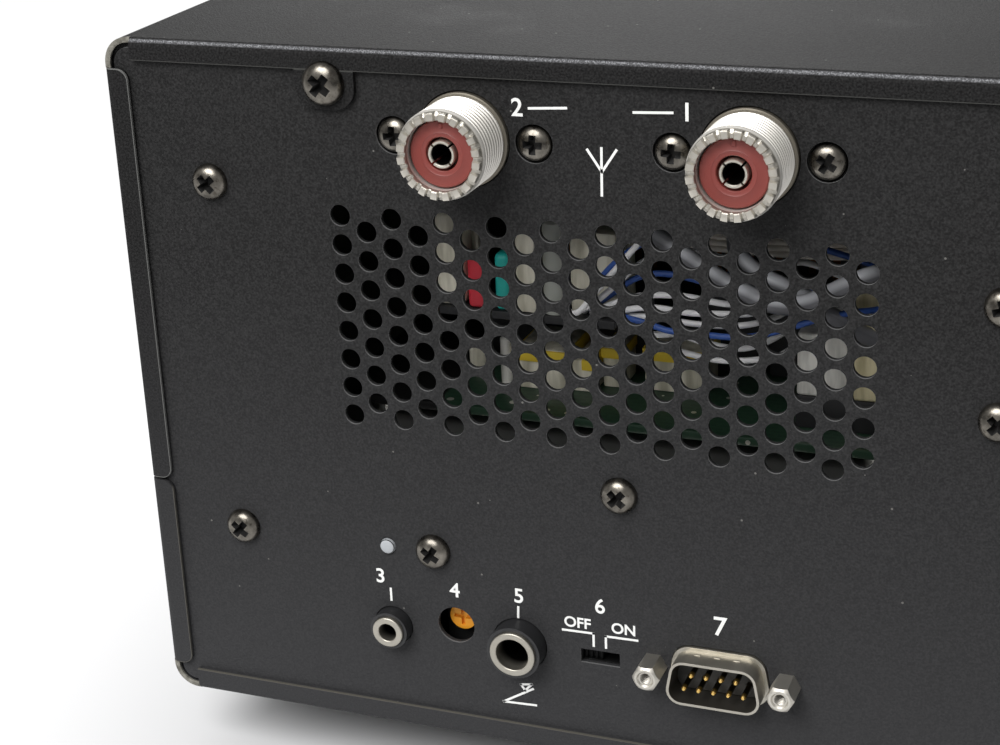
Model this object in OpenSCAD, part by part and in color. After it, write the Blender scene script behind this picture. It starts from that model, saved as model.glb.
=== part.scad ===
// Table-top HF radio transceiver: a folded steel case with a punched rear panel, a moulded front
// panel with its dials and keys, and the boards, heat sink and fan that it holds inside.
// The front faces -Y and +Z is up. The origin lies on the table, under the middle of the box.

/* [Case] */
// Width of the case over its covers
case_w = 410; // [400:1:440]
// Height of the case over its covers, without the feet
case_h = 135; // [133:1:150]
// Depth from the face of the front panel to the face of the rear panel
body_d = 300; // [290:1:340]
// Height of the feet
foot_h = 14; // [13:0.5:20]
// Thickness of the cover sheet
cover_t = 1; // [0.8:0.1:1.2]
// Outer radius of the four long corners of the covers
corner_r = 5; // [4:0.5:6]
// Height of the joint between the two covers above the underside
split_h = 47.5; // [44:0.5:52]
// Open width of that joint
split_gap = 0.6; // [0.4:0.1:1]
// Width of the lips that the covers fold over the rear panel
lip_w = 4.8; // [4.2:0.1:5.4]
// Width of the level lip of the top cover over the rear panel
top_lip_w = 4; // [3.6:0.1:5]
// Outer radius of the fold of a lip
fold_r = 1.6; // [1.3:0.1:2]
// Distance from a corner of the case to the end of a lip
lip_end = 5.8; // [5.6:0.1:8]
// Slip fit between the covers and what they slide over
slip = 0.3; // [0.2:0.05:0.4]
// Width of the two screw tabs on the top lip
tab_w = 11.4; // [10.6:0.1:13]
// Distance from the side of the case to the middle of a screw tab
tab_side = 44.5; // [38:0.1:48]
// Depth of the tab screw below the top of the case
tab_drop = 6.3; // [6.1:0.1:7]

/* [Rear panel] */
// Thickness of the rear panel
panel_t = 1.2; // [1:0.1:1.6]
// Open gap between the edge of the rear panel and the covers
panel_gap = 0.9; // [0.6:0.1:1.2]
// Distance from the side of the case to the first column of vent holes
vent_side = 45.2; // [44:0.1:48]
// Depth of the first row of vent holes below the top of the case
vent_drop = 30.7; // [30:0.1:31.5]
// Columns of vent holes
vent_cols = 20; // [12:1:21]
// Rows of vent holes in the longer columns
vent_rows = 8; // [4:1:8]
// Step from column to column
vent_pitch_x = 5; // [4.6:0.1:5.1]
// Step from row to row
vent_pitch_z = 5.54; // [5:0.02:5.6]
// Diameter of a vent hole
vent_d = 4; // [3:0.1:4.2]
// Diameter of the head of a panel screw
screw_head_d = 6.9; // [6.2:0.1:7.2]
// Diameter of the shank of a panel screw
screw_d = 3; // [2.5:0.1:3.5]
// Distance from the side of the case to the screws beside the vents
edge_screw_side = 19.5; // [16:0.1:22]

/* [Antenna connectors] */
// Distance from the side of the case to the first antenna connector
ant_side = 69.8; // [68:0.1:72]
// Distance between the two antenna connectors
ant_pitch = 50.4; // [46:0.1:52]
// Depth of the antenna connectors below the top of the case
ant_drop = 15.2; // [15:0.1:15.6]
// Diameter over the thread of a connector
ant_thread_d = 15.9; // [15:0.1:16.2]
// Reach of a connector out of the rear panel
ant_reach = 11.4; // [9:0.1:14]
// Diameter of the collar at the foot of the thread
ant_collar_d = 16.8; // [16.4:0.1:17.2]
// Diameter of the brown insulator
ant_insulator_d = 11.3; // [10:0.1:11.8]
// Bore of the centre contact
ant_contact_bore = 4; // [3.6:0.1:4.4]
// Distance between the two flange screws of a connector
ant_screw_pitch = 26; // [25.8:0.1:27]
// Notches in the front edge of a connector
ant_notches = 20; // [12:1:30]

/* [Jacks and data port] */
// Height of the row of jacks above the underside of the case
jack_h = 21.8; // [21:0.1:24]
// Distance from the side of the case to the small jack
remote_side = 50.4; // [49:0.1:51.5]
// Distance from the side of the case to the trimmer hole
trim_side = 63.5; // [63:0.1:64]
// Distance from the side of the case to the large jack
key_side = 76.4; // [76:0.1:78]
// Distance from the side of the case to the slide switch
switch_side = 92.4; // [92:0.1:93.5]
// Distance from the side of the case to the data port
port_side = 115.3; // [114:0.1:120]
// Bore of the small jack
remote_bore = 3.6; // [3.4:0.05:3.8]
// Bore of the large jack
key_bore = 6.4; // [6.2:0.05:6.6]
// Distance between the two jackscrews of the data port
port_screw_pitch = 24.99; // [24.5:0.01:26]
// Reach of the data port's shell out of the rear panel
port_reach = 5; // [4.5:0.1:6]
// Diameter of the trimmer hole
trim_hole_d = 7.5; // [6:0.1:8]
// Travel of the slide switch
switch_travel = 3.5; // [3:0.1:4]

/* [Fan and power] */
// Side of the square fan
fan_w = 60; // [56:1:64]
// Depth of the fan
fan_d = 25; // [20:1:30]
// Length of the ground post out of the rear panel
post_len = 16; // [14:0.5:20]
// Diameter of the ground post
post_d = 4; // [3.5:0.1:5]

/* [Front panel] */
// Depth of the front panel moulding
bezel_d = 24; // [22:1:30]
// Wall of the front panel moulding
bezel_wall = 3; // [2.5:0.1:3.5]
// Width of the display window
window_w = 180; // [150:1:186]
// Height of the display window
window_h = 38; // [30:0.5:40]
// Diameter of the main dial
dial_d = 64; // [50:1:66]
// Length of the main dial
dial_len = 22; // [16:0.5:28]
// Diameter of the second dial
sub_dial_d = 38; // [30:1:42]
// Length of the second dial
sub_dial_len = 17; // [12:0.5:22]
// Diameter of a control knob
knob_d = 14; // [11:0.5:15]
// Diameter of the ring under a double control knob
ring_d = 22; // [18:0.5:26]
// Width of a number key
key_w = 18; // [14:0.5:20]
// Height of a number key
key_h = 10; // [8:0.5:12]
// Width of a mode key
mode_w = 15; // [11:0.5:16]
// Height of a mode key
mode_h = 7; // [6:0.5:8]
// How far a key stands out of the front panel
key_proud = 2.4; // [1.5:0.1:3.5]
// Travel of a key
key_travel = 0.8; // [0.5:0.1:1]
// Play around a key in its hole
key_play = 0.35; // [0.25:0.05:0.5]

/* [Inside] */
// Height of the chassis deck above the underside of the case
deck_h = 58; // [57.5:0.1:58.5]
// Thickness of the chassis sheet
deck_t = 1.5; // [1.2:0.1:2]
// Thickness of a circuit board
board_t = 1.6; // [1.2:0.1:2]
// Height of a board above the deck
board_rise = 4; // [3.5:0.5:5]
// Fins of the heat sink
fin_count = 13; // [6:1:16]
// Diameter of the loudspeaker
speaker_d = 76; // [60:1:80]

/* [Hidden] */
$fn = 64;
EPS = 0.01;
RUN = 0.06;

// Key dial reach and ends of the box, so that the origin lies under its middle
dial_gap = 2;
front_reach = dial_gap + dial_len;
rear_y = (body_d + front_reach - post_len) / 2;
front_y = rear_y - body_d;
inner_y = rear_y - panel_t;
cover_y = front_y + bezel_d;
top_z = foot_h + case_h;
split_z = foot_h + split_h;
deck_z = foot_h + deck_h;
board_z = deck_z + deck_t + board_rise;
half_w = case_w / 2;

// Places on the rear panel are given from the case side that lies on the left seen from behind
function side_x(d) = half_w - d;
function up_z(h) = foot_h + h;
function down_z(d) = top_z - d;

vent_z = down_z(vent_drop);
vent_x = side_x(vent_side);
vent_foot_z = vent_z - (vent_rows - 1) * vent_pitch_z;
ant_xs = [side_x(ant_side), side_x(ant_side + ant_pitch)];
ant_z = down_z(ant_drop);
jack_z = up_z(jack_h);
screw_play = 0.3;
head_h = 2.2;

// Rear panel screws: beside the vents on both sides, then the ones between the connectors
edge_screw_drops = [26.1, 96];
edge_screws = [for (s = [1, -1], d = edge_screw_drops) [s * side_x(edge_screw_side), down_z(d)]];
deck_screw_side = 96.8;
deck_screw_drop = 2.3;
deck_screws = [for (s = [1, -1]) [s * side_x(deck_screw_side), deck_z - deck_screw_drop]];
stay_side = 162.5;
stay_w = 14;
stay_drops = [37.3, 57.3];
stay_screws = [for (d = stay_drops) [side_x(stay_side), down_z(d)]];
bracket_side = 59.7;
bracket_rise = 17.3;
bracket_screw = [side_x(bracket_side), jack_z + bracket_rise];
inner_screws = concat(deck_screws, stay_screws, [bracket_screw]);
pin_side = 50.2;
pin_rise = 17;
pin_hole = [side_x(pin_side), jack_z + pin_rise];
pin_hole_d = 3.4;
tab_screws = [for (s = [1, -1]) [s * side_x(tab_side), down_z(tab_drop)]];
tab_head_d = screw_head_d + 1;
tab_end = 4.7;
tab_r = 4;

// Cover screws on the flanks of the case, for the top cover and the bottom cover
flank_head_d = 7;
flank_head_h = 1.8;
flank_ys = [cover_y + 40, rear_y - 45];
flank_zs = [split_z + 22, split_z - 20];

// Antenna connector, lengths along its axis from the face of the rear panel
ant_collar_reach = 1.3;
ant_chamfer = 0.75;
ant_ring_len = 0.7;
ant_flange = [ant_screw_pitch + 8, 19, 2];
ant_tail_d = 13;
ant_tail_len = 14;
ant_insulator_sink = 2;
ant_contact_sink = 1.6;
ant_contact_wall = 0.6;
ant_fit = 0.05;
ant_hole_d = ant_collar_d + 2 * screw_play;
ant_head_d = screw_head_d - 0.5;
ant_screw_hole_d = ant_head_d + 0.5;

// Jacks: boss, sleeve and moulded body
remote_boss_d = remote_bore + 4;
key_boss_d = key_bore + 4.2;
remote_reach = 2.7;
key_reach = 3.7;
sleeve_wall = 1.3;
sleeve_len = 9;
sleeve_proud = 0.7;
jack_board_z = jack_z - 8;
remote_body = [9, 14, jack_z + 6 - jack_board_z];
key_body = [13, 26, jack_z + 8 - jack_board_z];
boss_play = 0.2;

// Trimmer and slide switch behind the panel
trim_z = jack_z + 2;
trim_rotor_d = 5.4;
trim_rotor_t = 1.8;
trim_sink = 2.4;
trim_stem_d = 4;
trim_body = [8, 5];
nub_w = 3.6;
nub_h = 2.3;
nub_play = 0.3;
slot_w = nub_w + switch_travel + 2 * nub_play;
slot_h = nub_h + 2 * nub_play;
switch_body = [slot_w + 3, 8];
switch_z = jack_z - 0.3;
nub_sink = 1.6;
nub_len = 6;

// Data port: a nine-pin shell, wider at its foot
port_x = side_x(port_side);
port_z = jack_z;
shell_w = 17.4;
shell_h = 8.9;
shell_r = 2.75;
shell_slant = 10;
shell_wall = 0.5;
shell_flare = 0.7;
shell_flare_len = 0.5;
port_play = shell_flare + 0.2;
pin_pitch = 2.77;
pin_row = 2.84;
pin_d = 1;
pin_reach = 4.5;
port_flange = [port_screw_pitch + 6, 0.8, 12.5];
insert_depth = 6;
jackscrew_af = 4.6;
jackscrew_len = 5.6;
jackscrew_bore = 2.4;
jackscrew_stud = 2.8;

// Rear sockets on the other half of the panel
power_side = 60;
power_x = -side_x(power_side);
power_z = up_z(27);
power_shell = [34, 22];
power_cavity = [28, 16];
power_reach = 3;
power_depth = 14;
power_pin_d = 2.4;
power_pins = [for (x = [-10, 10], z = [-4, 4]) [x, z]];
post_pitch = 42;
post_x = power_x + post_pitch;
post_z = up_z(22);
wing_d = 9;
wing_t = 3;
line_pitch = 20;
line_gap = 24;
line_low_h = 24;
line_sockets = [for (i = [0, 1], k = [0, 1])
    [post_x + line_gap + i * line_pitch, up_z(line_low_h + k * line_pitch)]];
line_d = 8.3;
line_bore = 3.2;
line_reach = 9;
line_collar = 1;
line_nut_d = 12;

// Fan: middle of the panel, in front of the heat sink
fan_gap = 5.5;
fan_x = side_x(stay_side) - stay_w / 2 - fan_gap - fan_w / 2;
fan_z = (deck_z + deck_t + top_z - cover_t) / 2;
fan_bore_d = fan_w - 4;
fan_screw_pitch = fan_w * 5 / 6;
fan_hub_d = 28;
fan_tip_play = 1;
fan_blades = 7;
fan_grille_r = fan_bore_d / 2 - 2;
sink_w = 104;
sink_gap = 5;
sink_len = 120;
sink_base = 8;
sink_y = inner_y - fan_d - 6 - sink_len;
fin_t = 2;

// Front panel: distances are from its face inwards
function in_y(d) = front_y + d;
board_d = bezel_wall + 12;
bezel_r = corner_r + 1;
lid_play = 0.2;
window_lip = 2;
window_t = 2.2;
key_pitch = [22, 16];
key_margin = [69, 25];
key_at = [side_x(key_margin[0]), case_h - key_margin[1]];
flange_w = 1.2;
flange_t = 1.2;
key_field_x = key_at[0] - 2 * key_pitch[0] - key_w / 2 - flange_w;
window_gap = 9.8;
window_drop = 28;
window_at = [key_field_x - window_gap - window_lip - window_w / 2, case_h - window_drop];
dial_at = [15, 46];
sub_dial_side = 83;
sub_dial_at = [side_x(sub_dial_side), 52];
pair_sides = [93, 143];
pair_h = 38;
pair_at = [for (d = pair_sides) [-side_x(d), pair_h]];
single_side = 27;
single_drop = 65;
single_at = [[side_x(single_side), case_h - single_drop], [side_x(single_side), 32]];
mode_pitch = 18;
mode_side = 115;
mode_drop = 56;
mode_at = [-side_x(mode_side), case_h - mode_drop];
power_key_side = 25;
power_key_drop = 24;
power_key_at = [-side_x(power_key_side), case_h - power_key_drop];
power_key = [18, 11];
phones_side = 21;
phones_at = [-side_x(phones_side), 30];
mic_side = 53;
mic_at = [-side_x(mic_side), 24];
switch_face = 5;
stem_w = 4;
shaft_d = 6;
inner_shaft_d = 3;
bush_d = 9;
bush_proud = 2;
pot_d = 17;
encoder_w = 24;
pot_front = bezel_wall + 4;
shaft_in = board_d - 2;
shaft_bore = shaft_in + 0.5;
mic_d = 19;
mic_bore = 14.5;
mic_reach = 6;
mic_pin_d = 1.6;
boss_d = 7;
board_inset = 12;
boss_side = 20;
boss_inset = 12;
bosses = concat([for (s = [-1, 1], z = [boss_inset, case_h - boss_inset]) [s * side_x(boss_side), up_z(z)]],
    [for (z = [boss_inset, case_h - boss_inset]) [key_field_x - window_gap / 2, up_z(z)]]);

digits = [for (n = [0:9]) n];
modes = [for (n = [1:5]) n];
function key_place(n) = [key_at[0] + ((n + 9) % 5 - 2) * key_pitch[0],
    key_at[1] - (n >= 1 && n <= 5 ? 0 : key_pitch[1])];
function mode_place(n) = [mode_at[0] + (n - 3) * mode_pitch, mode_at[1]];
key_size = [key_w, key_h];
mode_size = [mode_w, mode_h];
key_spots = concat([for (n = digits) [key_place(n), key_size]],
    [for (n = modes) [mode_place(n), mode_size]], [[power_key_at, power_key]]);
dial_spots = [[dial_at, encoder_w], [sub_dial_at, encoder_w]];

// Feet and tilt stand
foot_x = 150;
foot_front_y = front_y + 50;
foot_rear_y = rear_y - 45;
foot_d = 24;
foot_block = [22, 30];
wire_d = 5;
stand_z = foot_h - wire_d / 2 - 2.5;
stand_len = 52;
stand_pin = 8;
stand_gap = 0.6;
stand_bend = 7;
stand_x = foot_x - foot_block[0] / 2 - stand_gap - stand_bend;

// Inside: boards and what stands on them
rail_t = 1.5;
rail_x = half_w - cover_t - slip;
flange_reach = 27;
tuner_side = 36;
tuner_w = 112;
tuner_len = 111;
tuner_gap = 9;
tuner_x = [side_x(tuner_side + tuner_w), side_x(tuner_side)];
tuner_y = [inner_y - tuner_gap - tuner_len, inner_y - tuner_gap];
sink_x = [tuner_x[0] - sink_gap - sink_w, tuner_x[0] - sink_gap];
amp_side = 14;
amp_gap = 8;
amp_len = 150;
amp_back = 40;
amp_x = [-side_x(amp_side), sink_x[0] - amp_gap];
amp_y = [inner_y - amp_back - amp_len, inner_y - amp_back];
main_side = 16;
main_front = 22;
main_back = 60;
main_x = [-side_x(main_side), side_x(main_side)];
main_y = [cover_y + main_front, inner_y - main_back];
main_drop = 24;
main_z = deck_z - main_drop;
pillar_d = 6;
pillar_inset = 8;
speaker_side = 100;
speaker_front = 85;
speaker_at = [-side_x(speaker_side), cover_y + speaker_front];
speaker_depth = 30;
magnet_d = 34;

// Shared shapes

// A flat outline in X and Z, drawn out along Y
module along_y(y0, y1) {
    translate([0, y1, 0]) rotate([90, 0, 0]) linear_extrude(y1 - y0) children();
}

// A round bar along Y
module bar_y(at, y0, y1, d) {
    translate([at[0], y1, at[1]]) rotate([90, 0, 0]) cylinder(d = d, h = y1 - y0);
}

// A turned shape: its outline is radius against distance along +Y
module turned_y(at, y) {
    translate([at[0], y, at[1]]) rotate([-90, 0, 0]) rotate_extrude() children();
}

// A block between two corners
module block(low, high) {
    translate(low) cube(high - low);
}

// A rectangle with round corners, from its lower left corner
module round_rect(w, h, r) {
    translate([r, 0]) square([w - 2 * r, h]);
    translate([0, r]) square([w, h - 2 * r]);
    for (x = [r, w - r], y = [r, h - r]) translate([x, y]) circle(r);
}

// A rectangle with round corners about its middle
module round_plate(at, size, r) {
    translate([at[0] - size[0] / 2, at[1] - size[1] / 2]) round_rect(size[0], size[1], r);
}

// Outline of the case, taken in all round
module case_outline(inset) {
    translate([-half_w + inset, foot_h + inset])
        round_rect(case_w - 2 * inset, case_h - 2 * inset, corner_r - inset);
}

// A pan head screw that goes in along -Y, with its cross recess
module panel_screw(at, y, head_d, len) {
    difference() {
        union() {
            turned_y(at, y) polygon([[0, -len], [screw_d / 2, -len], [screw_d / 2, 0],
                [head_d / 2, 0], [head_d / 2, head_h * 0.35], [head_d * 0.3, head_h], [0, head_h]]);
        }
        cross_recess(at, y + head_h, head_d);
    }
}

module cross_recess(at, y, head_d) {
    long = head_d * 0.52;
    wide = head_d * 0.15;
    for (s = [[long, wide], [wide, long]])
        block([at[0] - s[0] / 2, y - head_h * 0.6, at[1] - s[1] / 2],
            [at[0] + s[0] / 2, y + 1, at[1] + s[1] / 2]);
}

// Case sheet metal

// Quarter ring of a fold, about the middle of its bend
module fold_outline() {
    intersection() {
        difference() {
            circle(fold_r);
            circle(fold_r - cover_t);
        }
        square(fold_r);
    }
}

// Sheet of one cover from the front panel to the start of the fold; its corners reach the rear panel
module cover_sheet(low, high) {
    fold_y = rear_y + cover_t - fold_r;
    module outline() {
        intersection() {
            difference() {
                case_outline(0);
                case_outline(cover_t);
            }
            translate([-half_w, low]) square([case_w, high - low]);
        }
    }
    along_y(cover_y, fold_y) outline();
    along_y(fold_y - EPS, rear_y) intersection() {
        outline();
        for (s = [-1, 1], z = [foot_h, top_z])
            translate([s * half_w, z]) square(2 * lip_end, center = true);
    }
}

// Level lip of a cover on the rear panel: up is 1 for the top cover and -1 for the bottom cover
module level_lip(up) {
    edge = up > 0 ? top_z : foot_h;
    wide = up > 0 ? top_lip_w : lip_w;
    run = case_w - 2 * lip_end;
    translate([-run / 2, rear_y + cover_t - fold_r, edge - up * fold_r]) mirror([0, 0, up > 0 ? 0 : 1])
        rotate([90, 0, 90]) linear_extrude(run) fold_outline();
    along_y(rear_y, rear_y + cover_t)
        translate([-run / 2, up > 0 ? edge - wide : edge + fold_r - EPS])
            square([run, wide - fold_r + EPS]);
}

// Upright lips of a cover on both sides of the rear panel, with rounded inner corners
module side_lips(low, high) {
    wide = lip_w - fold_r + EPS;
    round = 2.2;
    for (s = [0, 1]) mirror([s, 0, 0]) {
        translate([half_w - fold_r, rear_y + cover_t - fold_r, low])
            linear_extrude(high - low) fold_outline();
        along_y(rear_y, rear_y + cover_t) translate([half_w - lip_w, low]) {
            translate([round, 0]) square([wide - round, high - low]);
            translate([0, round]) square([wide, high - low - 2 * round]);
            for (z = [round, high - low - round]) intersection() {
                translate([round, z]) circle(round);
                square([wide, high - low]);
            }
        }
    }
}

module flank_holes() {
    for (s = [-1, 1], y = flank_ys, z = flank_zs)
        translate([s * half_w, y, z]) rotate([0, 90, 0])
            cylinder(d = screw_d + 2 * screw_play, h = 8, center = true);
}

// Long slots through a level cover
module cover_slots(at, count, pitch, size, z) {
    for (i = [0:count - 1])
        translate([at[0], at[1] + (i - (count - 1) / 2) * pitch, z - 4])
            linear_extrude(8) round_plate([0, 0], size, size[1] / 2 - EPS);
}

// Tab below the top lip, with round lower corners
module screw_tab(at) {
    translate([at[0] - tab_w / 2, at[1] - tab_end]) {
        round_rect(tab_w, 2 * tab_r + 0.2, tab_r);
        translate([0, tab_r]) square([tab_w, tab_end + tab_drop - tab_r - fold_r]);
    }
}

module top_cover() {
    color("#26262a") difference() {
        union() {
            cover_sheet(split_z, top_z);
            level_lip(1);
            side_lips(split_z, top_z - lip_end);
            along_y(rear_y, rear_y + cover_t) for (at = tab_screws) screw_tab(at);
        }
        for (at = tab_screws)
            bar_y(at, rear_y - 1, rear_y + cover_t + 1, screw_d + 2 * screw_play);
        flank_holes();
        cover_slots(speaker_at, 9, 7, [speaker_d * 0.8, 3], top_z);
        cover_slots([(sink_x[0] + sink_x[1]) / 2, sink_y + sink_len / 3], 8, 8, [70, 3], top_z);
    }
}

module bottom_cover() {
    color("#242428") difference() {
        union() {
            cover_sheet(foot_h, split_z - split_gap);
            level_lip(-1);
            side_lips(foot_h + lip_end, split_z - split_gap);
        }
        flank_holes();
        for (x = [-90, 90]) cover_slots([x, rear_y - 110], 7, 8, [60, 3], foot_h);
    }
}

// Outline of the data port's shell, wider at its foot, taken in by a wall
module port_outline(inset) {
    r = shell_r - inset;
    low = shell_w / 2 - shell_r;
    rise = shell_h / 2 - shell_r;
    high = low - 2 * rise * tan(shell_slant);
    steps = 6;
    corners = [[high, rise, shell_slant, 90], [-high, rise, 90, 180 - shell_slant],
        [-low, -rise, 180 - shell_slant, 270], [low, -rise, 270, 360 + shell_slant]];
    translate([port_x, port_z]) polygon([for (c = corners, k = [0:steps])
        let (turn = c[2] + (c[3] - c[2]) * k / steps) [c[0] + r * cos(turn), c[1] + r * sin(turn)]]);
}

function port_screw_xs() = [for (s = [-1, 1]) port_x + s * port_screw_pitch / 2];

module vent_holes() {
    for (c = [0:vent_cols - 1]) {
        odd = c % 2;
        for (r = [0:vent_rows - 1 - odd])
            translate([vent_x - c * vent_pitch_x, vent_z - (r + odd / 2) * vent_pitch_z])
                circle(d = vent_d);
    }
}

// The same punched pattern in a round field in front of the fan
module fan_holes() {
    reach = ceil(fan_grille_r / vent_pitch_x);
    for (c = [-reach:reach], r = [-reach:reach]) {
        at = [c * vent_pitch_x, (r + (abs(c) % 2) / 2) * vent_pitch_z];
        if (norm(at) < fan_grille_r) translate([fan_x, fan_z] + at) circle(d = vent_d);
    }
}

function fan_screws() = [for (x = [-1, 1], z = [-1, 1])
    [fan_x + x * fan_screw_pitch / 2, fan_z + z * fan_screw_pitch / 2]];

module rear_panel() {
    edge = cover_t + panel_gap;
    color("#2a2a2e") along_y(inner_y, rear_y) difference() {
        case_outline(edge);
        vent_holes();
        fan_holes();
        for (at = concat(edge_screws, inner_screws, tab_screws, fan_screws()))
            translate(at) circle(d = screw_d + 2 * screw_play);
        translate(pin_hole) circle(d = pin_hole_d);
        for (x = ant_xs) {
            translate([x, ant_z]) circle(d = ant_hole_d);
            for (s = [-1, 1])
                translate([x + s * ant_screw_pitch / 2, ant_z]) circle(d = ant_screw_hole_d);
        }
        translate([side_x(remote_side), jack_z]) circle(d = remote_boss_d + 2 * boss_play);
        translate([side_x(key_side), jack_z]) circle(d = key_boss_d + 2 * boss_play);
        translate([side_x(trim_side), trim_z]) circle(d = trim_hole_d);
        translate([side_x(switch_side) - slot_w / 2, switch_z - slot_h / 2]) square([slot_w, slot_h]);
        port_outline(-port_play);
        for (x = port_screw_xs()) translate([x, port_z]) circle(d = jackscrew_stud + 2 * boss_play);
        round_plate([power_x, power_z], power_shell + [1, 1] * 2 * boss_play, 2);
        translate([post_x, post_z]) circle(d = post_d + 2 * boss_play);
        for (at = line_sockets) translate(at) circle(d = line_d + 2 * boss_play);
    }
}

// Chassis: a deck between two side rails, with flanges for the rear panel and a front plate
module chassis() {
    low = foot_h + cover_t + slip;
    high = top_z - cover_t - slip;
    front = in_y(board_d + board_t + 1);
    behind = cover_y + slip;
    plate_x = half_w - bezel_wall - slip;
    plate_windows = [[60, 60, deck_z + 8, down_z(24)], [10, 60, up_z(11), deck_z - 14]];
    deck_ear = 9;
    rail_low = foot_h + corner_r;
    rail_high = top_z - corner_r;
    color("#b9bcc0") difference() {
        union() {
            block([-rail_x, behind, deck_z], [rail_x, inner_y, deck_z + deck_t]);
            block([-plate_x, front, deck_z], [plate_x, behind + EPS, deck_z + deck_t]);
            for (s = [0, 1]) mirror([s, 0, 0]) {
                block([rail_x - rail_t, behind, rail_low], [rail_x, inner_y, rail_high]);
                block([rail_x - flange_reach, inner_y - rail_t, rail_low], [rail_x, inner_y, rail_high]);
            }
            block([-plate_x, front, low + 6], [plate_x, front + deck_t, high - 6]);
            for (at = deck_screws)
                block([at[0] - deck_ear, inner_y - rail_t, deck_z - deck_ear],
                    [at[0] + deck_ear, inner_y, deck_z + EPS]);
            block([stay_screws[0][0] - stay_w / 2, inner_y - rail_t, deck_z + deck_t - EPS],
                [stay_screws[0][0] + stay_w / 2, inner_y, stay_screws[0][1] + stay_w / 2]);
            for (at = board_pillars(tuner_x, tuner_y)) pillar(at, deck_z + deck_t, board_z);
            for (at = board_pillars(amp_x, amp_y)) pillar(at, deck_z + deck_t, board_z);
            for (at = board_pillars(main_x, main_y)) pillar(at, main_z + board_t, deck_z);
        }
        for (at = concat(edge_screws, deck_screws, stay_screws))
            bar_y(at, inner_y - 7, inner_y + 1, screw_d + 2 * screw_play);
        flank_holes();
        for (w = plate_windows)
            block([-side_x(w[0]), front - 1, w[2]], [side_x(w[1]), front + deck_t + 1, w[3]]);
    }
}

function board_pillars(xs, ys) = [for (x = [xs[0] + pillar_inset, xs[1] - pillar_inset],
    y = [ys[0] + pillar_inset, ys[1] - pillar_inset]) [x, y]];

module pillar(at, low, high) {
    translate([at[0], at[1], low]) cylinder(d = pillar_d, h = high - low);
}

// Rear panel fittings

module antenna_shell(x) {
    r = ant_thread_d / 2;
    front = ant_reach;
    back = -panel_t - ant_tail_len;
    nose = r - ant_chamfer;
    bore = ant_insulator_d / 2 + ant_fit;
    difference() {
        union() {
            turned_y([x, ant_z], rear_y) polygon([[0, back], [ant_tail_d / 2, back],
                [ant_tail_d / 2, -panel_t], [ant_collar_d / 2, -panel_t],
                [ant_collar_d / 2, ant_collar_reach], [r, ant_collar_reach],
                [r, front - ant_ring_len - ant_chamfer], [nose, front - ant_ring_len],
                [nose, front], [0, front]]);
            along_y(inner_y - ant_flange[2], inner_y) round_plate([x, ant_z], ant_flange, 3);
        }
        bar_y([x, ant_z], rear_y + back - 1, rear_y + front + 1, 2 * bore);
        for (s = [-1, 1])
            bar_y([x + s * ant_screw_pitch / 2, ant_z], inner_y - 6, inner_y + 1, screw_d + 2 * screw_play);
        for (i = [0:ant_notches - 1])
            translate([x, rear_y + front, ant_z]) rotate([0, i * 360 / ant_notches, 0])
                translate([bore - 0.5, 0, 0]) rotate([0, 90, 0]) cylinder(d = 0.9, h = r, $fn = 24);
    }
}

module antenna_shells() {
    color("#d8d6cf") for (x = ant_xs) antenna_shell(x);
}

contact_r = ant_contact_bore / 2 + ant_contact_wall;

module antenna_insulators() {
    r = ant_insulator_d / 2;
    back = -panel_t - ant_tail_len;
    face = ant_reach - ant_insulator_sink;
    color("#8a3a34") for (x = ant_xs)
        turned_y([x, ant_z], rear_y) polygon([[contact_r + ant_fit, back], [r, back], [r, face - 0.4],
            [r - 0.4, face], [contact_r + 0.9, face], [contact_r + 0.7, face - 0.5],
            [contact_r + ant_fit, face - 0.5]]);
}

// Spring contact with four slits in its mouth
module antenna_contacts() {
    back = -panel_t - ant_tail_len - 5;
    face = ant_reach - ant_contact_sink;
    r = ant_contact_bore / 2;
    slit = 0.35;
    color("#d0cdc2") for (x = ant_xs) difference() {
        turned_y([x, ant_z], rear_y) polygon([[0, back], [contact_r, back], [contact_r, face],
            [r, face], [r, face - 16], [0, face - 16]]);
        for (turn = [45, 135]) translate([x, rear_y + face - 4, ant_z]) rotate([0, turn, 0])
            block([-contact_r - 1, 0, -slit / 2], [contact_r + 1, 6, slit / 2]);
    }
}

// A jack body: a round boss through the panel and a block behind it, bored for its sleeve and plug
module jack_body(at, face, dir, boss_d, reach, back, body, bore, foot_z) {
    sleeve = bore + 2 * sleeve_wall + 0.1;
    translate([0, face, 0]) mirror([0, dir > 0 ? 0 : 1, 0]) difference() {
        union() {
            bar_y(at, -back - EPS, reach, boss_d);
            block([at[0] - body[0] / 2, -back - body[1], foot_z],
                [at[0] + body[0] / 2, -back, foot_z + body[2]]);
        }
        bar_y(at, reach - sleeve_len, reach + 1, sleeve);
        bar_y(at, 2 - back - body[1], reach, bore);
    }
}

module jack_sleeve(at, face, dir, reach, bore) {
    translate([0, face, 0]) mirror([0, dir > 0 ? 0 : 1, 0]) difference() {
        bar_y(at, reach - sleeve_len, reach + sleeve_proud, bore + 2 * sleeve_wall);
        bar_y(at, reach - sleeve_len - 1, reach + 2, bore);
    }
}

phones_x = [phones_at[0], up_z(phones_at[1])];
phones_body = [16, 30, 16];
phones_reach = 2;

module signal_jacks() {
    color("#1c1c1e") {
        jack_body([side_x(remote_side), jack_z], rear_y, 1, remote_boss_d, remote_reach, panel_t,
            remote_body, remote_bore, jack_board_z);
        jack_body([side_x(key_side), jack_z], rear_y, 1, key_boss_d, key_reach, panel_t,
            key_body, key_bore, jack_board_z);
        jack_body(phones_x, front_y, -1, key_boss_d, phones_reach, bezel_wall,
            phones_body, key_bore, phones_x[1] - phones_body[2] / 2);
    }
}

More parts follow.
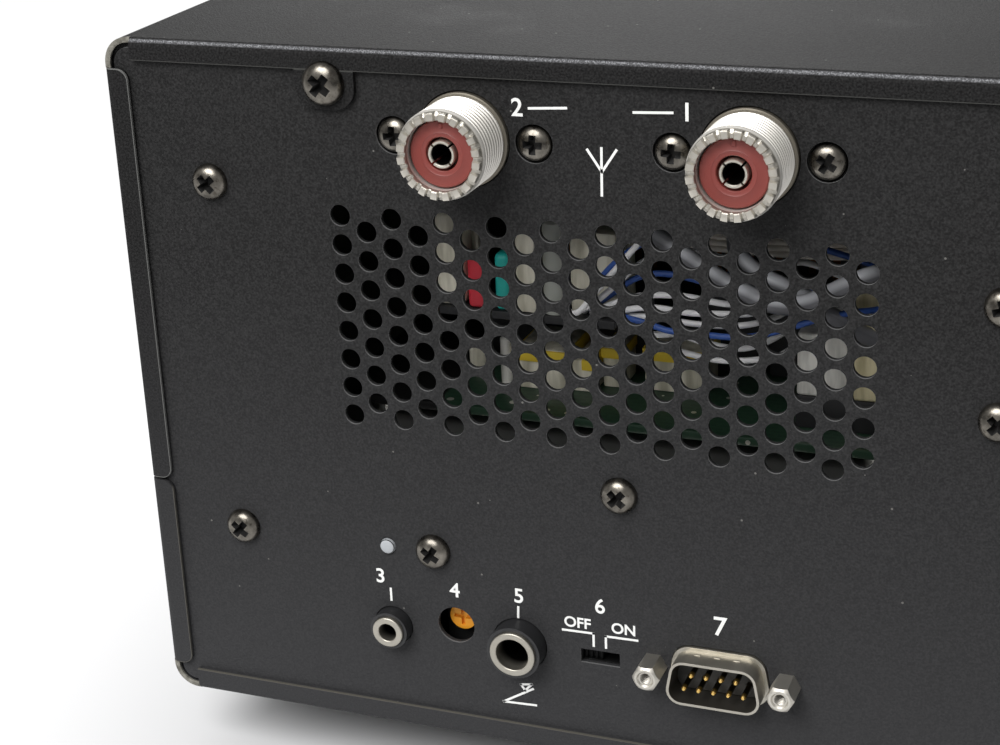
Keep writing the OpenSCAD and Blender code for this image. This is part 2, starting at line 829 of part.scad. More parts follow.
module jack_sleeves() {
    color("#cfccc2") {
        jack_sleeve([side_x(remote_side), jack_z], rear_y, 1, remote_reach, remote_bore);
        jack_sleeve([side_x(key_side), jack_z], rear_y, 1, key_reach, key_bore);
        jack_sleeve(phones_x, front_y, -1, phones_reach, key_bore);
    }
}

module data_port_shell() {
    color("#a9a69c") {
        along_y(inner_y - port_flange[1], inner_y) difference() {
            round_plate([port_x, port_z], [port_flange[0], port_flange[2]], 2);
            port_outline(shell_wall);
            for (x = port_screw_xs()) translate([x, port_z]) circle(d = jackscrew_stud + 2 * boss_play);
        }
        along_y(inner_y - port_flange[1] / 2, rear_y + port_reach) difference() {
            port_outline(0);
            port_outline(shell_wall);
        }
        along_y(inner_y - EPS, rear_y + shell_flare_len) difference() {
            port_outline(-shell_flare);
            port_outline(shell_wall / 2);
        }
    }
}

function port_pins() = concat(
    [for (i = [-2:2]) [port_x + i * pin_pitch, port_z - pin_row / 2]],
    [for (i = [-1.5:1:1.5]) [port_x + i * pin_pitch, port_z + pin_row / 2]]);

module data_port_insert() {
    color("#18181a") difference() {
        along_y(inner_y - insert_depth, rear_y - 0.4) port_outline(shell_wall + 0.05);
        for (at = port_pins()) bar_y(at, inner_y - insert_depth - 1, rear_y + 1, pin_d + 0.1);
    }
}

module data_port_pins() {
    color("#c9a24a") for (at = port_pins())
        turned_y(at, rear_y) polygon([[0, -insert_depth - 4], [pin_d / 2, -insert_depth - 4],
            [pin_d / 2, pin_reach - 0.4], [pin_d / 4, pin_reach], [0, pin_reach]]);
}

// Hexagon jackscrews: a threaded head outside, a stud through the panel and the shell's flange
module jackscrews() {
    color("#b5b2a8") for (x = port_screw_xs()) difference() {
        union() {
            translate([x, rear_y + jackscrew_len, port_z]) rotate([90, 0, 0])
                cylinder(d = jackscrew_af / cos(30), h = jackscrew_len, $fn = 6);
            bar_y([x, port_z], inner_y - 5, rear_y + 1, jackscrew_stud);
        }
        bar_y([x, port_z], rear_y + 0.5, rear_y + jackscrew_len + 1, jackscrew_bore);
    }
}

// Board behind the jacks, with the body of the trimmer and of the slide switch on it
module jack_board() {
    trim_x = side_x(trim_side);
    trim_face = inner_y - trim_sink - trim_rotor_t - 0.2;
    switch_x = side_x(switch_side);
    ear = 5;
    color("#3c5a3c") {
        block([side_x(switch_side + 9), inner_y - 34, jack_board_z - board_t],
            [side_x(remote_side - 8), inner_y - 1, jack_board_z]);
        difference() {
            union() {
                block([bracket_screw[0] - ear, inner_y - 2, bracket_screw[1] - ear],
                    [pin_hole[0] + ear, inner_y, bracket_screw[1] + ear]);
                block([bracket_screw[0] + 2.2, inner_y - 14, jack_board_z],
                    [bracket_screw[0] + 4.4, inner_y, bracket_screw[1] + ear]);
            }
            bar_y(bracket_screw, inner_y - 7, inner_y + 1, screw_d + 2 * screw_play);
        }
        bar_y(pin_hole, inner_y - 1, rear_y + 0.4, pin_hole_d - 0.4);
        difference() {
            block([trim_x - trim_body[0] / 2, trim_face - trim_body[1], jack_board_z],
                [trim_x + trim_body[0] / 2, trim_face, trim_z + trim_body[0] / 2]);
            bar_y([trim_x, trim_z], trim_face - trim_body[1] + 1, trim_face + 1, trim_stem_d + 2 * RUN);
        }
        difference() {
            block([switch_x - switch_body[0] / 2, inner_y - 0.3 - switch_body[1], jack_board_z],
                [switch_x + switch_body[0] / 2, inner_y - 0.3, switch_z + 4]);
            block([switch_x - slot_w / 2, inner_y - nub_len - 1, switch_z - slot_h / 2],
                [switch_x + slot_w / 2, inner_y + 1, switch_z + slot_h / 2]);
        }
    }
}

// Slide switch button at its first stop
module backup_slider() {
    x = side_x(switch_side) + switch_travel / 2;
    color("#161617") difference() {
        block([x - nub_w / 2, inner_y - nub_len, switch_z - nub_h / 2],
            [x + nub_w / 2, rear_y - nub_sink, switch_z + nub_h / 2]);
        for (i = [-1:1]) block([x + i - 0.2, rear_y - nub_sink - 0.4, switch_z - nub_h],
            [x + i + 0.2, rear_y, switch_z + nub_h]);
    }
}

// Trimmer rotor with its cross slot, turned from outside through the hole in the panel
module trimmer_rotor() {
    at = [side_x(trim_side), trim_z];
    face = inner_y - trim_sink;
    color("#d98a1e") difference() {
        turned_y(at, face) polygon([[0, -trim_rotor_t - 3.5], [trim_stem_d / 2, -trim_rotor_t - 3.5],
            [trim_stem_d / 2, -trim_rotor_t], [trim_rotor_d / 2, -trim_rotor_t],
            [trim_rotor_d / 2, 0], [0, 0]]);
        for (s = [[trim_rotor_d * 0.7, 0.8], [0.8, trim_rotor_d * 0.7]])
            block([at[0] - s[0] / 2, face - 0.9, at[1] - s[1] / 2],
                [at[0] + s[0] / 2, face + 1, at[1] + s[1] / 2]);
    }
}

// Power inlet: an open shroud with four pins on its floor
module power_socket() {
    floor_y = rear_y + power_reach - power_depth;
    color("#202022") {
        difference() {
            union() {
                along_y(floor_y - 2, rear_y + power_reach) round_plate([power_x, power_z], power_shell, 2);
                along_y(inner_y - 2, inner_y) round_plate([power_x, power_z], power_shell + [6, 4], 2);
            }
            along_y(floor_y, rear_y + power_reach + 1) round_plate([power_x, power_z], power_cavity, 1.5);
        }
        for (p = power_pins) bar_y([power_x, power_z] + p, floor_y, rear_y + power_reach - 3, power_pin_d);
    }
}

// Phono sockets: a barrel on a collar, bored for the plug's pin, with a shank and nut behind the panel
module line_sockets() {
    shank = line_d / 2 - 0.4;
    nut = line_nut_d / 2;
    back = -panel_t - 10;
    color("#c9c6bb") for (at = line_sockets) difference() {
        turned_y(at, rear_y) polygon([[0, back], [shank, back], [shank, -panel_t - 3], [nut, -panel_t - 3],
            [nut, -panel_t], [shank, -panel_t], [shank, 0], [nut, 0], [nut, line_collar],
            [line_d / 2, line_collar], [line_d / 2, line_reach], [0, line_reach]]);
        bar_y(at, rear_y - 3, rear_y + line_reach + 1, line_bore);
    }
}

// Ground post: a threaded stud with a hexagon seat on the panel and a thinner tail behind it
module ground_post() {
    at = [post_x, post_z];
    color("#b8a468") {
        bar_y(at, inner_y - 8, rear_y + EPS, post_d - 1);
        translate([post_x, rear_y + wing_t, post_z]) rotate([90, 0, 0])
            cylinder(d = wing_d, h = wing_t, $fn = 6);
        bar_y(at, rear_y + wing_t - EPS, rear_y + post_len, post_d);
    }
}

module screws() {
    color("#8d8a80") {
        for (at = concat(edge_screws, inner_screws, fan_screws())) panel_screw(at, rear_y, screw_head_d, 6);
        for (at = tab_screws) panel_screw(at, rear_y + cover_t, tab_head_d, 6);
        for (x = ant_xs, s = [-1, 1])
            panel_screw([x + s * ant_screw_pitch / 2, ant_z], inner_y, ant_head_d, 6);
        for (s = [0, 1], y = flank_ys, z = flank_zs)
            mirror([s, 0, 0]) translate([half_w, y, z]) rotate([0, 90, 0]) flank_screw();
    }
}

// Low screw of the case sides, along Z with its seat at 0
module flank_screw() {
    r = flank_head_d / 2;
    difference() {
        rotate_extrude() polygon([[0, -6], [screw_d / 2, -6], [screw_d / 2, 0], [r, 0],
            [r, flank_head_h * 0.4], [r * 0.6, flank_head_h], [0, flank_head_h]]);
        for (s = [[3.6, 1], [1, 3.6]])
            translate([-s[0] / 2, -s[1] / 2, flank_head_h * 0.35]) cube([s[0], s[1], 4]);
    }
}

// Fan and heat sink

module fan_frame() {
    back = inner_y - fan_d;
    at = [fan_x, fan_z];
    color("#1b1b1d") difference() {
        union() {
            along_y(back, inner_y) difference() {
                round_plate(at, [fan_w, fan_w], 4);
                translate(at) circle(d = fan_bore_d);
                for (p = fan_screws()) translate(p) circle(d = screw_d + 2 * screw_play);
            }
            bar_y(at, back, back + 3, fan_hub_d);
            for (turn = [0, 90]) translate([fan_x, back, fan_z]) rotate([0, turn, 0])
                block([-fan_bore_d / 2 - 0.5, 0, -2], [fan_bore_d / 2 + 0.5, 2.5, 2]);
        }
        bar_y(at, back + 0.8, inner_y, 4 + 2 * RUN);
    }
}

module fan_rotor() {
    r = fan_bore_d / 2 - fan_tip_play;
    back = inner_y - fan_d + 4;
    front = inner_y - 3;
    color("#232325") {
        bar_y([fan_x, fan_z], back - 2.5, back + 1, 4);
        bar_y([fan_x, fan_z], back, front, fan_hub_d);
        intersection() {
            bar_y([fan_x, fan_z], back + 1, front - 1, 2 * r);
            for (i = [0:fan_blades - 1]) translate([fan_x, (back + front) / 2, fan_z])
                rotate([0, i * 360 / fan_blades, 0]) rotate([0, 0, 38])
                    block([-12, -0.6, fan_hub_d / 2 - 3], [12, 0.6, r + 6]);
        }
    }
}

module heat_sink() {
    low = deck_z + deck_t;
    high = fan_z + fan_w / 2;
    step = (sink_w - fin_t) / (fin_count - 1);
    color("#9c9fa3") {
        block([sink_x[0], sink_y, low], [sink_x[1], sink_y + sink_len, low + sink_base]);
        for (i = [0:fin_count - 1]) {
            x = sink_x[0] + i * step;
            block([x, sink_y, low + sink_base - 1], [x + fin_t, sink_y + sink_len, high]);
        }
    }
}

// Circuit boards

module board_plate(xs, ys, z) {
    block([xs[0], ys[0], z], [xs[1], ys[1], z + board_t]);
}

// Receiver and control board under the deck, with its shield boxes and chips
module main_board() {
    can = [50, 60, 12];
    chip = [24, 24, 5];
    step = (main_x[1] - main_x[0]) / 4;
    color("#2f5d3a") {
        board_plate(main_x, main_y, main_z);
        for (i = [0:3]) under_board([main_x[0] + (i + 0.5) * step, main_y[0] + can[1]], can);
        for (i = [1:3]) under_board([main_x[0] + i * step, main_y[1] - 2 * chip[1]], chip);
    }
}

module under_board(at, size) {
    block([at[0] - size[0] / 2, at[1] - size[1] / 2, main_z - size[2]],
        [at[0] + size[0] / 2, at[1] + size[1] / 2, main_z + EPS]);
}

// Transmitter board beside the heat sink, with its coupling transformers
module amplifier_board() {
    mid = (amp_y[0] + amp_y[1]) / 2;
    top = board_z + board_t;
    color("#2f5d3a") {
        board_plate(amp_x, amp_y, board_z);
        for (y = [mid - 40, mid, mid + 40]) difference() {
            block([amp_x[1] - 50, y - 12, top], [amp_x[1] - 20, y + 12, top + 22]);
            for (z = [6.5, 15.5])
                translate([amp_x[1] - 51, y, top + z]) rotate([0, 90, 0]) cylinder(d = 5, h = 40);
        }
        for (y = [mid - 50, mid - 25, mid + 25, mid + 50])
            translate([amp_x[0] + 40, y, top]) cylinder(d = 12, h = 20);
    }
}

// Antenna tuner board behind the vents: relays, shield walls, coils and the two wire terminals
tuner_top = board_z + board_t;
relay = [12, 16, 16];
relay_side = 66;
relay_gap = 18;
relay_xs = [for (i = [0:3]) side_x(relay_side + relay[0] * i + (i > 1 ? relay_gap : 0))];
relay_back = 38;
relay_y = inner_y - relay_back;
coil_d = 34;
coil_bore = 14;
coil_h = 30;
coil_side = 110;
coil_back = 84;
coil_at = [side_x(coil_side), inner_y - coil_back];
toroid_d = 26;
toroid_bore = 12;
toroid_sides = [62, 134];
toroid_backs = [90, 60];
toroids = [for (i = [0, 1]) [side_x(toroid_sides[i]), inner_y - toroid_backs[i]]];
terminal_back = 12;
terminal_len = 22;
terminal_y = [inner_y - terminal_back - terminal_len, inner_y - terminal_back];
terminal_sides = [142, 92];
terminal_low = side_x(terminal_sides[0]);
terminal_high = side_x(terminal_sides[1]);
terminal_t = 4;
terminal_h = 26;

module tuner_board() {
    color("#31533c") {
        board_plate(tuner_x, tuner_y, board_z);
        for (x = relay_xs)
            block([x - relay[0] / 2 + 0.5, relay_y - relay[1], tuner_top - EPS],
                [x + relay[0] / 2 - 0.5, relay_y, tuner_top + relay[2]]);
        block([terminal_low - terminal_t, terminal_y[0], tuner_top - EPS],
            [terminal_low, terminal_y[1], tuner_top + terminal_h]);
        block([terminal_high, terminal_y[0], tuner_top - EPS],
            [terminal_high + terminal_t, terminal_y[1], tuner_top + terminal_h]);
        wound_core(coil_at, coil_d, coil_bore, coil_h);
        for (at = toroids) wound_core(at, toroid_d, toroid_bore, toroid_d);
    }
}

module wound_core(at, d, bore, height) {
    translate([at[0], at[1], tuner_top - EPS]) difference() {
        cylinder(d = d, h = height);
        translate([0, 0, 2]) cylinder(d = bore, h = height);
    }
}

// Wires between the two terminals of the tuner, each one tube along its route
function unit(v) = v / norm(v);
function tangent(p, i) = unit(p[min(i + 1, len(p) - 1)] - p[max(i - 1, 0)]);
function bend(a, b, c, d, t) = 0.5 * (2 * b + (c - a) * t + (2 * a - 5 * b + 4 * c - d) * t * t
    + (3 * b - a - 3 * c + d) * t * t * t);
function eased(p, steps) = concat([for (i = [0:len(p) - 2], k = [0:steps - 1])
    bend(p[max(i - 1, 0)], p[i], p[i + 1], p[min(i + 2, len(p) - 1)], k / steps)], [p[len(p) - 1]]);

module tube(path, d, sides) {
    n = len(path);
    rings = [for (i = [0:n - 1]) let (t = tangent(path, i), a = unit(cross(t, [0, 0, 1])), b = cross(t, a))
        for (k = [0:sides - 1]) path[i] + d / 2 * (cos(k * 360 / sides) * a - sin(k * 360 / sides) * b)];
    sides_of = [for (i = [0:n - 2], k = [0:sides - 1]) let (k2 = (k + 1) % sides)
        each [[i * sides + k, i * sides + k2, (i + 1) * sides + k],
            [i * sides + k2, (i + 1) * sides + k2, (i + 1) * sides + k]]];
    ends = [for (k = [1:sides - 2]) each [[0, k + 1, k],
        [(n - 1) * sides, (n - 1) * sides + k, (n - 1) * sides + k + 1]]];
    polyhedron(rings, concat(sides_of, ends));
}

wire_count = 7;
wire_gauge = 1.6;

module wire_harness() {
    low = terminal_low + 0.1;
    high = terminal_high - 0.1;
    run = high - low;
    step = (terminal_h - 6) / (wire_count - 1);
    color("#e6e4df") for (i = [0:wire_count - 1]) {
        z = tuner_top + 3 + i * step;
        y = terminal_y[1] - 6 + (i % 3 - 1) * 2.4;
        sag = 1.5 - (i * 3) % 4;
        tube(eased([[low, y - 3, z], [low + run * 0.12, y - 2.8, z], [low + run * 0.45, y + 1, z - sag],
            [low + run * 0.8, y - 3.8, z], [high, y - 4, z]], 4), wire_gauge, 8);
    }
}

// Loudspeaker under the slots of the top cover
module speaker() {
    face = top_z - cover_t;
    r = speaker_d / 2;
    color("#3a3a3c") translate([speaker_at[0], speaker_at[1], face]) mirror([0, 0, 1]) rotate_extrude()
        polygon([[r - 5, 0], [r, 0], [r, 3], [r - 4, 3], [magnet_d / 2, 18], [magnet_d / 2, speaker_depth],
            [0, speaker_depth], [0, 14], [9, 14], [r - 6, 2]]);
}

// Front panel and its controls

// Place on the front panel: across from the middle, and up from the underside of the case
function front_at(at) = [at[0], up_z(at[1])];

module front_panel() {
    edge = bezel_wall;
    color("#232326") {
        difference() {
            union() {
                along_y(front_y, cover_y) difference() {
                    translate([-half_w, foot_h]) round_rect(case_w, case_h, bezel_r);
                    translate([-half_w + edge, foot_h + edge])
                        round_rect(case_w - 2 * edge, case_h - 2 * edge, bezel_r - edge);
                }
                along_y(front_y, front_y + bezel_wall)
                    translate([-half_w, foot_h]) round_rect(case_w, case_h, bezel_r);
                for (at = bosses) bar_y(at, front_y + bezel_wall - EPS, in_y(board_d), boss_d);
            }
            along_y(front_y - 1, front_y + bezel_wall + 1) {
                round_plate(front_at(window_at), [window_w, window_h], 3);
                for (k = key_spots)
                    round_plate(front_at(k[0]), k[1] + [1, 1] * 2 * key_play, 1 + key_play);
                for (at = concat([dial_at, sub_dial_at], pair_at, single_at))
                    translate(front_at(at)) circle(d = bush_d + 2 * boss_play);
                translate(phones_x) circle(d = key_boss_d + 2 * boss_play);
                translate(front_at(mic_at)) circle(d = mic_d + 2 * boss_play);
            }
        }
    }
}

// Window: a clear plate in the opening, with a lip behind the wall
module display_window() {
    size = [window_w, window_h];
    color("#101418") {
        along_y(in_y(0.4), in_y(bezel_wall + EPS))
            round_plate(front_at(window_at), size - [1, 1] * 2 * lid_play, 3 - lid_play);
        along_y(in_y(bezel_wall), in_y(bezel_wall + window_t - 1))
            round_plate(front_at(window_at), size + [1, 1] * 2 * window_lip, 3);
    }
}

module display_module() {
    at = front_at(window_at);
    size = [window_w - 6, window_h - 2];
    color("#2c3a34") along_y(in_y(bezel_wall + window_t - 0.8), in_y(board_d)) round_plate(at, size, 1);
}

// Board behind the front panel with one push switch under each key
module control_board() {
    low = [-half_w + board_inset, foot_h + 8];
    color("#2f5d3a") {
        along_y(in_y(board_d), in_y(board_d + board_t)) difference() {
            translate(low) square([case_w - 2 * board_inset, case_h - 16]);
            translate(front_at(mic_at)) circle(d = mic_d + 4);
            round_plate(phones_x, [phones_body[0] + 1, phones_body[2] + 1], 0.5);
        }
        for (k = key_spots) {
            at = front_at(k[0]);
            block([at[0] - 3, in_y(board_d - switch_face), at[1] - 3],
                [at[0] + 3, in_y(board_d), at[1] + 3]);
        }
    }
}

// Bodies of the controls: a case on the board and a bored bush through the panel
module control_pots() {
    color("#a5a39a") {
        for (at = concat(pair_at, single_at)) difference() {
            union() {
                bar_y(front_at(at), in_y(pot_front), in_y(board_d), pot_d);
                bar_y(front_at(at), in_y(-bush_proud), in_y(pot_front + EPS), bush_d);
            }
            bar_y(front_at(at), in_y(-bush_proud - 1), in_y(shaft_bore), shaft_d + 2 * RUN);
        }
        for (s = dial_spots) {
            at = front_at(s[0]);
            difference() {
                union() {
                    along_y(in_y(pot_front), in_y(board_d)) round_plate(at, [s[1], s[1]], 2);
                    bar_y(at, in_y(-bush_proud), in_y(pot_front + EPS), bush_d);
                }
                bar_y(at, in_y(-bush_proud - 1), in_y(shaft_bore), shaft_d + 2 * RUN);
            }
        }
    }
}

// A turned knob with its shaft: skirt, grip and a rounded edge; lengths run outwards from the panel
module turned_knob(at, d, len, gap, shaft) {
    r = d / 2;
    edge = min(1.5, r / 6);
    bush = bush_d / 2 + 0.6;
    turned_y(front_at(at), front_y) polygon([[0, shaft_in], [shaft / 2, shaft_in],
        [shaft / 2, -bush_proud - 0.8], [bush, -bush_proud - 0.8], [bush, -gap], [r, -gap],
        [r, -gap - len + edge],
        [r - edge, -gap - len], [0, -gap - len]]);
}

module main_dial() {
    at = front_at(dial_at);
    face = in_y(-front_reach);
    groove = dial_d / 2 - 4;
    color("#1d1d20") difference() {
        turned_knob(dial_at, dial_d, dial_len, dial_gap, shaft_d);
        translate([at[0] + dial_d * 0.3, face - 5, at[1]]) sphere(r = 8.5);
        turned_y(at, face) polygon([[groove, -1], [groove + 1, -1], [groove + 1, 0.6], [groove, 0.6]]);
    }
}

module sub_dial() {
    at = front_at(sub_dial_at);
    face = in_y(-dial_gap - sub_dial_len);
    color("#1d1d20") difference() {
        turned_knob(sub_dial_at, sub_dial_d, sub_dial_len, dial_gap, shaft_d);
        translate([at[0] + sub_dial_d * 0.28, face - 3.5, at[1]]) sphere(r = 5.5);
    }
}

ring_len = 6;
ring_gap = 0.8;

// Pointer groove on the face and flank of a knob
module pointer(at, d, front, len) {
    block([at[0] - 0.5, front - 1, at[1] + d * 0.12], [at[0] + 0.5, front + 0.5, at[1] + d]);
    block([at[0] - 0.5, front - 1, at[1] + d / 2 - 0.5], [at[0] + 0.5, front + len, at[1] + d]);
}

// Outer ring of a double control, on a tube that turns in the bush
module control_ring(at) {
    r = ring_d / 2;
    front = in_y(-ring_gap - ring_len);
    bush = bush_d / 2 + 0.6;
    bore = inner_shaft_d / 2 + RUN;
    color("#2b2b2e") difference() {
        turned_y(front_at(at), front_y) polygon([[bore, shaft_in - 4], [shaft_d / 2, shaft_in - 4],
            [shaft_d / 2, -bush_proud - 0.8], [bush, -bush_proud - 0.8], [bush, -ring_gap], [r, -ring_gap],
            [r, -ring_gap - ring_len + 1.5], [r - 1.5, -ring_gap - ring_len],
            [bore, -ring_gap - ring_len]]);
        pointer(front_at(at), ring_d, front, ring_len);
    }
}

// Inner knob of a double control, on a shaft through the ring's tube
module control_knob(at) {
    r = knob_d / 2;
    back = -ring_gap - ring_len - 0.5;
    len = 13;
    front = in_y(back - len);
    color("#202023") difference() {
        turned_y(front_at(at), front_y) polygon([[0, shaft_in], [inner_shaft_d / 2, shaft_in],
            [inner_shaft_d / 2, back], [r, back], [r - 0.4, back - len + 1.2],
            [r - 1.6, back - len], [0, back - len]]);
        pointer(front_at(at), knob_d, front, len * 0.6);
    }
}

module single_knob(at) {
    len = 15;
    color("#202023") difference() {
        turned_knob(at, knob_d + 2, len, 1, shaft_d);
        pointer(front_at(at), knob_d + 2, in_y(-1 - len), len * 0.6);
    }
}

// A key: cap in its hole, a flange behind the wall that keeps it in, and a stem over its switch
module push_key(at, size) {
    p = front_at(at);
    seat = in_y(bezel_wall + 0.2);
    stem_end = board_d - switch_face - key_travel - 0.4;
    color("#39393d") {
        along_y(in_y(-key_proud), seat + EPS) round_plate(p, size, 1);
        along_y(seat, seat + flange_t) round_plate(p, size + [1, 1] * 2 * flange_w, 1);
        block([p[0] - stem_w / 2, seat, p[1] - stem_w / 2],
            [p[0] + stem_w / 2, in_y(stem_end), p[1] + stem_w / 2]);
    }
}

// Round microphone socket: a threaded collar with eight pins in its cup
module microphone_socket() {
    at = front_at(mic_at);
    back = board_d + board_t + 0.4;
    cup = 4;
    color("#b3b1a8") {
        difference() {
            bar_y(at, in_y(-mic_reach), in_y(back), mic_d);
            bar_y(at, in_y(-mic_reach - 1), in_y(cup), mic_bore);
        }
        for (turn = [0:360 / 7:359])
            bar_y(at + 4.6 * [cos(turn), sin(turn)], in_y(-1), in_y(cup + EPS), mic_pin_d);
        bar_y(at, in_y(-1), in_y(cup + EPS), mic_pin_d);
    }
}

// Feet and stand

module feet() {
    color("#1a1a1c") {
        for (s = [-1, 1]) translate([s * foot_x, foot_rear_y, 0]) rotate_extrude()
            polygon([[0, 0], [foot_d / 2 - 2, 0], [foot_d / 2, foot_h], [0, foot_h]]);
        for (s = [0, 1]) mirror([s, 0, 0]) difference() {
            block([foot_x - foot_block[0] / 2, foot_front_y - foot_block[1] / 2, 0],
                [foot_x + foot_block[0] / 2, foot_front_y + foot_block[1] / 2, foot_h]);
            translate([foot_x - foot_block[0] / 2 - 1, foot_front_y, stand_z]) rotate([0, 90, 0])
                cylinder(d = wire_d + 2 * RUN, h = stand_pin + 1.5);
        }
    }
}

// Quarter bend of the stand's wire about a point
module wire_bend(at, turn) {
    translate([at[0], at[1], stand_z]) rotate(turn) rotate_extrude(angle = 90)
        translate([stand_bend, 0]) circle(d = wire_d);
}

// Wire stand folded flat under the case: two pins in the front feet, two arms and a cross bar
module tilt_stand() {
    end_y = foot_front_y + stand_len;
    color("#5a5a5e") {
        for (s = [0, 1]) mirror([s, 0, 0]) {
            translate([stand_x + stand_bend, foot_front_y, stand_z]) rotate([0, 90, 0])
                cylinder(d = wire_d, h = stand_gap + stand_pin);
            wire_bend([stand_x + stand_bend, foot_front_y + stand_bend], 180);
            translate([stand_x, foot_front_y + stand_bend, stand_z]) rotate([-90, 0, 0])
                cylinder(d = wire_d, h = stand_len - 2 * stand_bend);
            wire_bend([stand_x - stand_bend, end_y - stand_bend], 0);
        }
        translate([stand_bend - stand_x, end_y, stand_z]) rotate([0, 90, 0])
            cylinder(d = wire_d, h = 2 * (stand_x - stand_bend));
    }
}

chassis();
rear_panel();
top_cover();
bottom_cover();
front_panel();
display_window();
display_module();
control_board();
control_pots();
main_board();
amplifier_board();
heat_sink();
tuner_board();
wire_harness();
speaker();
fan_frame();
fan_rotor();
antenna_shells();
antenna_insulators();
antenna_contacts();
signal_jacks();
jack_sleeves();
data_port_shell();
data_port_insert();
data_port_pins();
jackscrews();
jack_board();
backup_slider();
trimmer_rotor();
power_socket();
line_sockets();
ground_post();
microphone_socket();
feet();
tilt_stand();
screws();
main_dial();
sub_dial();
control_knob(pair_at[0]);  // left_knob
control_ring(pair_at[0]);  // left_ring
control_knob(pair_at[1]);  // right_knob
control_ring(pair_at[1]);  // right_ring
single_knob(single_at[0]);  // upper_knob
single_knob(single_at[1]);  // lower_knob
push_key(power_key_at, power_key);
for (n = digits)
    push_key(key_place(n), key_size);
for (n = modes)
    push_key(mode_place(n), mode_size);
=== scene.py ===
"""Table-top HF radio transceiver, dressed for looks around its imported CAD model.

Meshes are drawn in millimetres in the frame of the part, and place() turns them to metres.
"""
import math
import random

import bmesh
import bpy
from mathutils import Matrix, Vector


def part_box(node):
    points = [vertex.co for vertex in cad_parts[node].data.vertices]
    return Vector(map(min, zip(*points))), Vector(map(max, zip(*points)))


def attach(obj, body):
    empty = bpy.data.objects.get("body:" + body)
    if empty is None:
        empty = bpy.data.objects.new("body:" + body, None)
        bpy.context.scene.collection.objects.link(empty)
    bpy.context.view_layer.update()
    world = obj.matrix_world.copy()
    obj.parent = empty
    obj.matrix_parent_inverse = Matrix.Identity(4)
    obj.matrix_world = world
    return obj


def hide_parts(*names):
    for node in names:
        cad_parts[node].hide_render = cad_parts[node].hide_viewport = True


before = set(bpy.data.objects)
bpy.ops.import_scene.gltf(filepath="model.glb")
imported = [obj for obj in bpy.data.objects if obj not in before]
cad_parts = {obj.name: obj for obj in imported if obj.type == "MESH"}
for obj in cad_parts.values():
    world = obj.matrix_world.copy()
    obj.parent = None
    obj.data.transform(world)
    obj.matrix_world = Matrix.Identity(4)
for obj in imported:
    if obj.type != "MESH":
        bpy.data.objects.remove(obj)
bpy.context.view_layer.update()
scene = bpy.context.scene
scene.view_settings.view_transform = "Standard"

# Camera: behind the set and above it, looking down at the antenna corner of the rear panel.
# Its place comes from the even grid of the vent holes.
MM = 0.001
eye = Vector((6.16, 461.78, 225.0))
aim = Vector((130.2, 154.0, 91.1))
roll = math.radians(-2.53)
lens = bpy.data.cameras.new("camera")
lens.lens = 71.9
lens.sensor_width = 36.0
lens.clip_start = 0.01
camera = bpy.data.objects.new("camera", lens)
scene.collection.objects.link(camera)
heading = (aim - eye).to_track_quat("-Z", "Y").to_matrix().to_4x4()
camera.matrix_world = Matrix.Translation(eye * MM) @ heading @ Matrix.Rotation(roll, 4, "Z")
scene.camera = camera


# Studio: a pale table that fills the view, a pale room, a large soft lamp above and behind the set,
# and a weaker one for its front.
class Shade:
    """A socket of a material. Arithmetic on it adds Math nodes, and node() adds any other node."""

    def __init__(self, tree, socket=None):
        self.tree = tree
        self.socket = socket

    def feed(self, socket, value):
        if isinstance(value, Shade):
            self.tree.links.new(value.socket, socket)
        elif socket.type == "RGBA":
            socket.default_value = (*value, 1.0)
        else:
            socket.default_value = value

    def node(self, kind, values=None, out=0, **settings):
        made = self.tree.nodes.new("ShaderNode" + kind)
        for name, value in settings.items():
            setattr(made, name, value)
        for name, value in (values or {}).items():
            self.feed(made.inputs[name], value)
        return Shade(self.tree, made.outputs[out])

    def math(self, operation, a, b):
        return self.node("Math", {0: a, 1: b}, operation=operation)

    def __add__(self, other):
        return self.math("ADD", self, other)

    def __radd__(self, other):
        return self.math("ADD", other, self)

    def __sub__(self, other):
        return self.math("SUBTRACT", self, other)

    def __rsub__(self, other):
        return self.math("SUBTRACT", other, self)

    def __mul__(self, other):
        return self.math("MULTIPLY", self, other)

    def __rmul__(self, other):
        return self.math("MULTIPLY", other, self)

    def __gt__(self, other):
        return self.math("GREATER_THAN", self, other)

    def __lt__(self, other):
        return self.math("LESS_THAN", self, other)

    def __abs__(self):
        return self.math("ABSOLUTE", self, 0.0)

    def span(self, other):
        """Length of the two together, at right angles."""
        return self.math("SQRT", self * self + other * other, 0.0)

    def at(self):
        """Place on the piece, in metres."""
        return self.node("TexCoord", out=3)

    def axes(self, vector=None):
        """The three coordinates of that place, or of another vector."""
        split = self.node("SeparateXYZ", {"Vector": vector or self.at()})
        return [Shade(self.tree, socket) for socket in split.socket.node.outputs]

    def noise(self, scale, detail, where=None):
        return self.node("TexNoise", {"Vector": where or self.at(), "Scale": scale, "Detail": detail})

    def stretched(self, x, y, z):
        return self.node("Mapping", {"Vector": self.at(), "Scale": (x, y, z)})

    def band(self, low, high):
        """0 below low, 1 above high."""
        return self.node("MapRange", {"Value": self, "From Min": low, "From Max": high})

    def blend(self, low, high):
        """The colour low where this is 0, and high where it is 1."""
        return self.node("Mix", {0: self, 6: low, 7: high}, out=2, data_type="RGBA")

    def specks(self, scale, size, share):
        """Small dots in that share of the cells of a random grid."""
        cell = self.node("TexVoronoi", {"Vector": self.at(), "Scale": scale})
        spread = Shade(self.tree, cell.socket.node.outputs["Color"])
        chosen = self.node("SeparateColor", {"Color": spread}) > 1.0 - share
        return (cell < size) * chosen

    def bump(self, height, strength, depth):
        return self.node("Bump", {"Height": height, "Strength": strength, "Distance": depth})


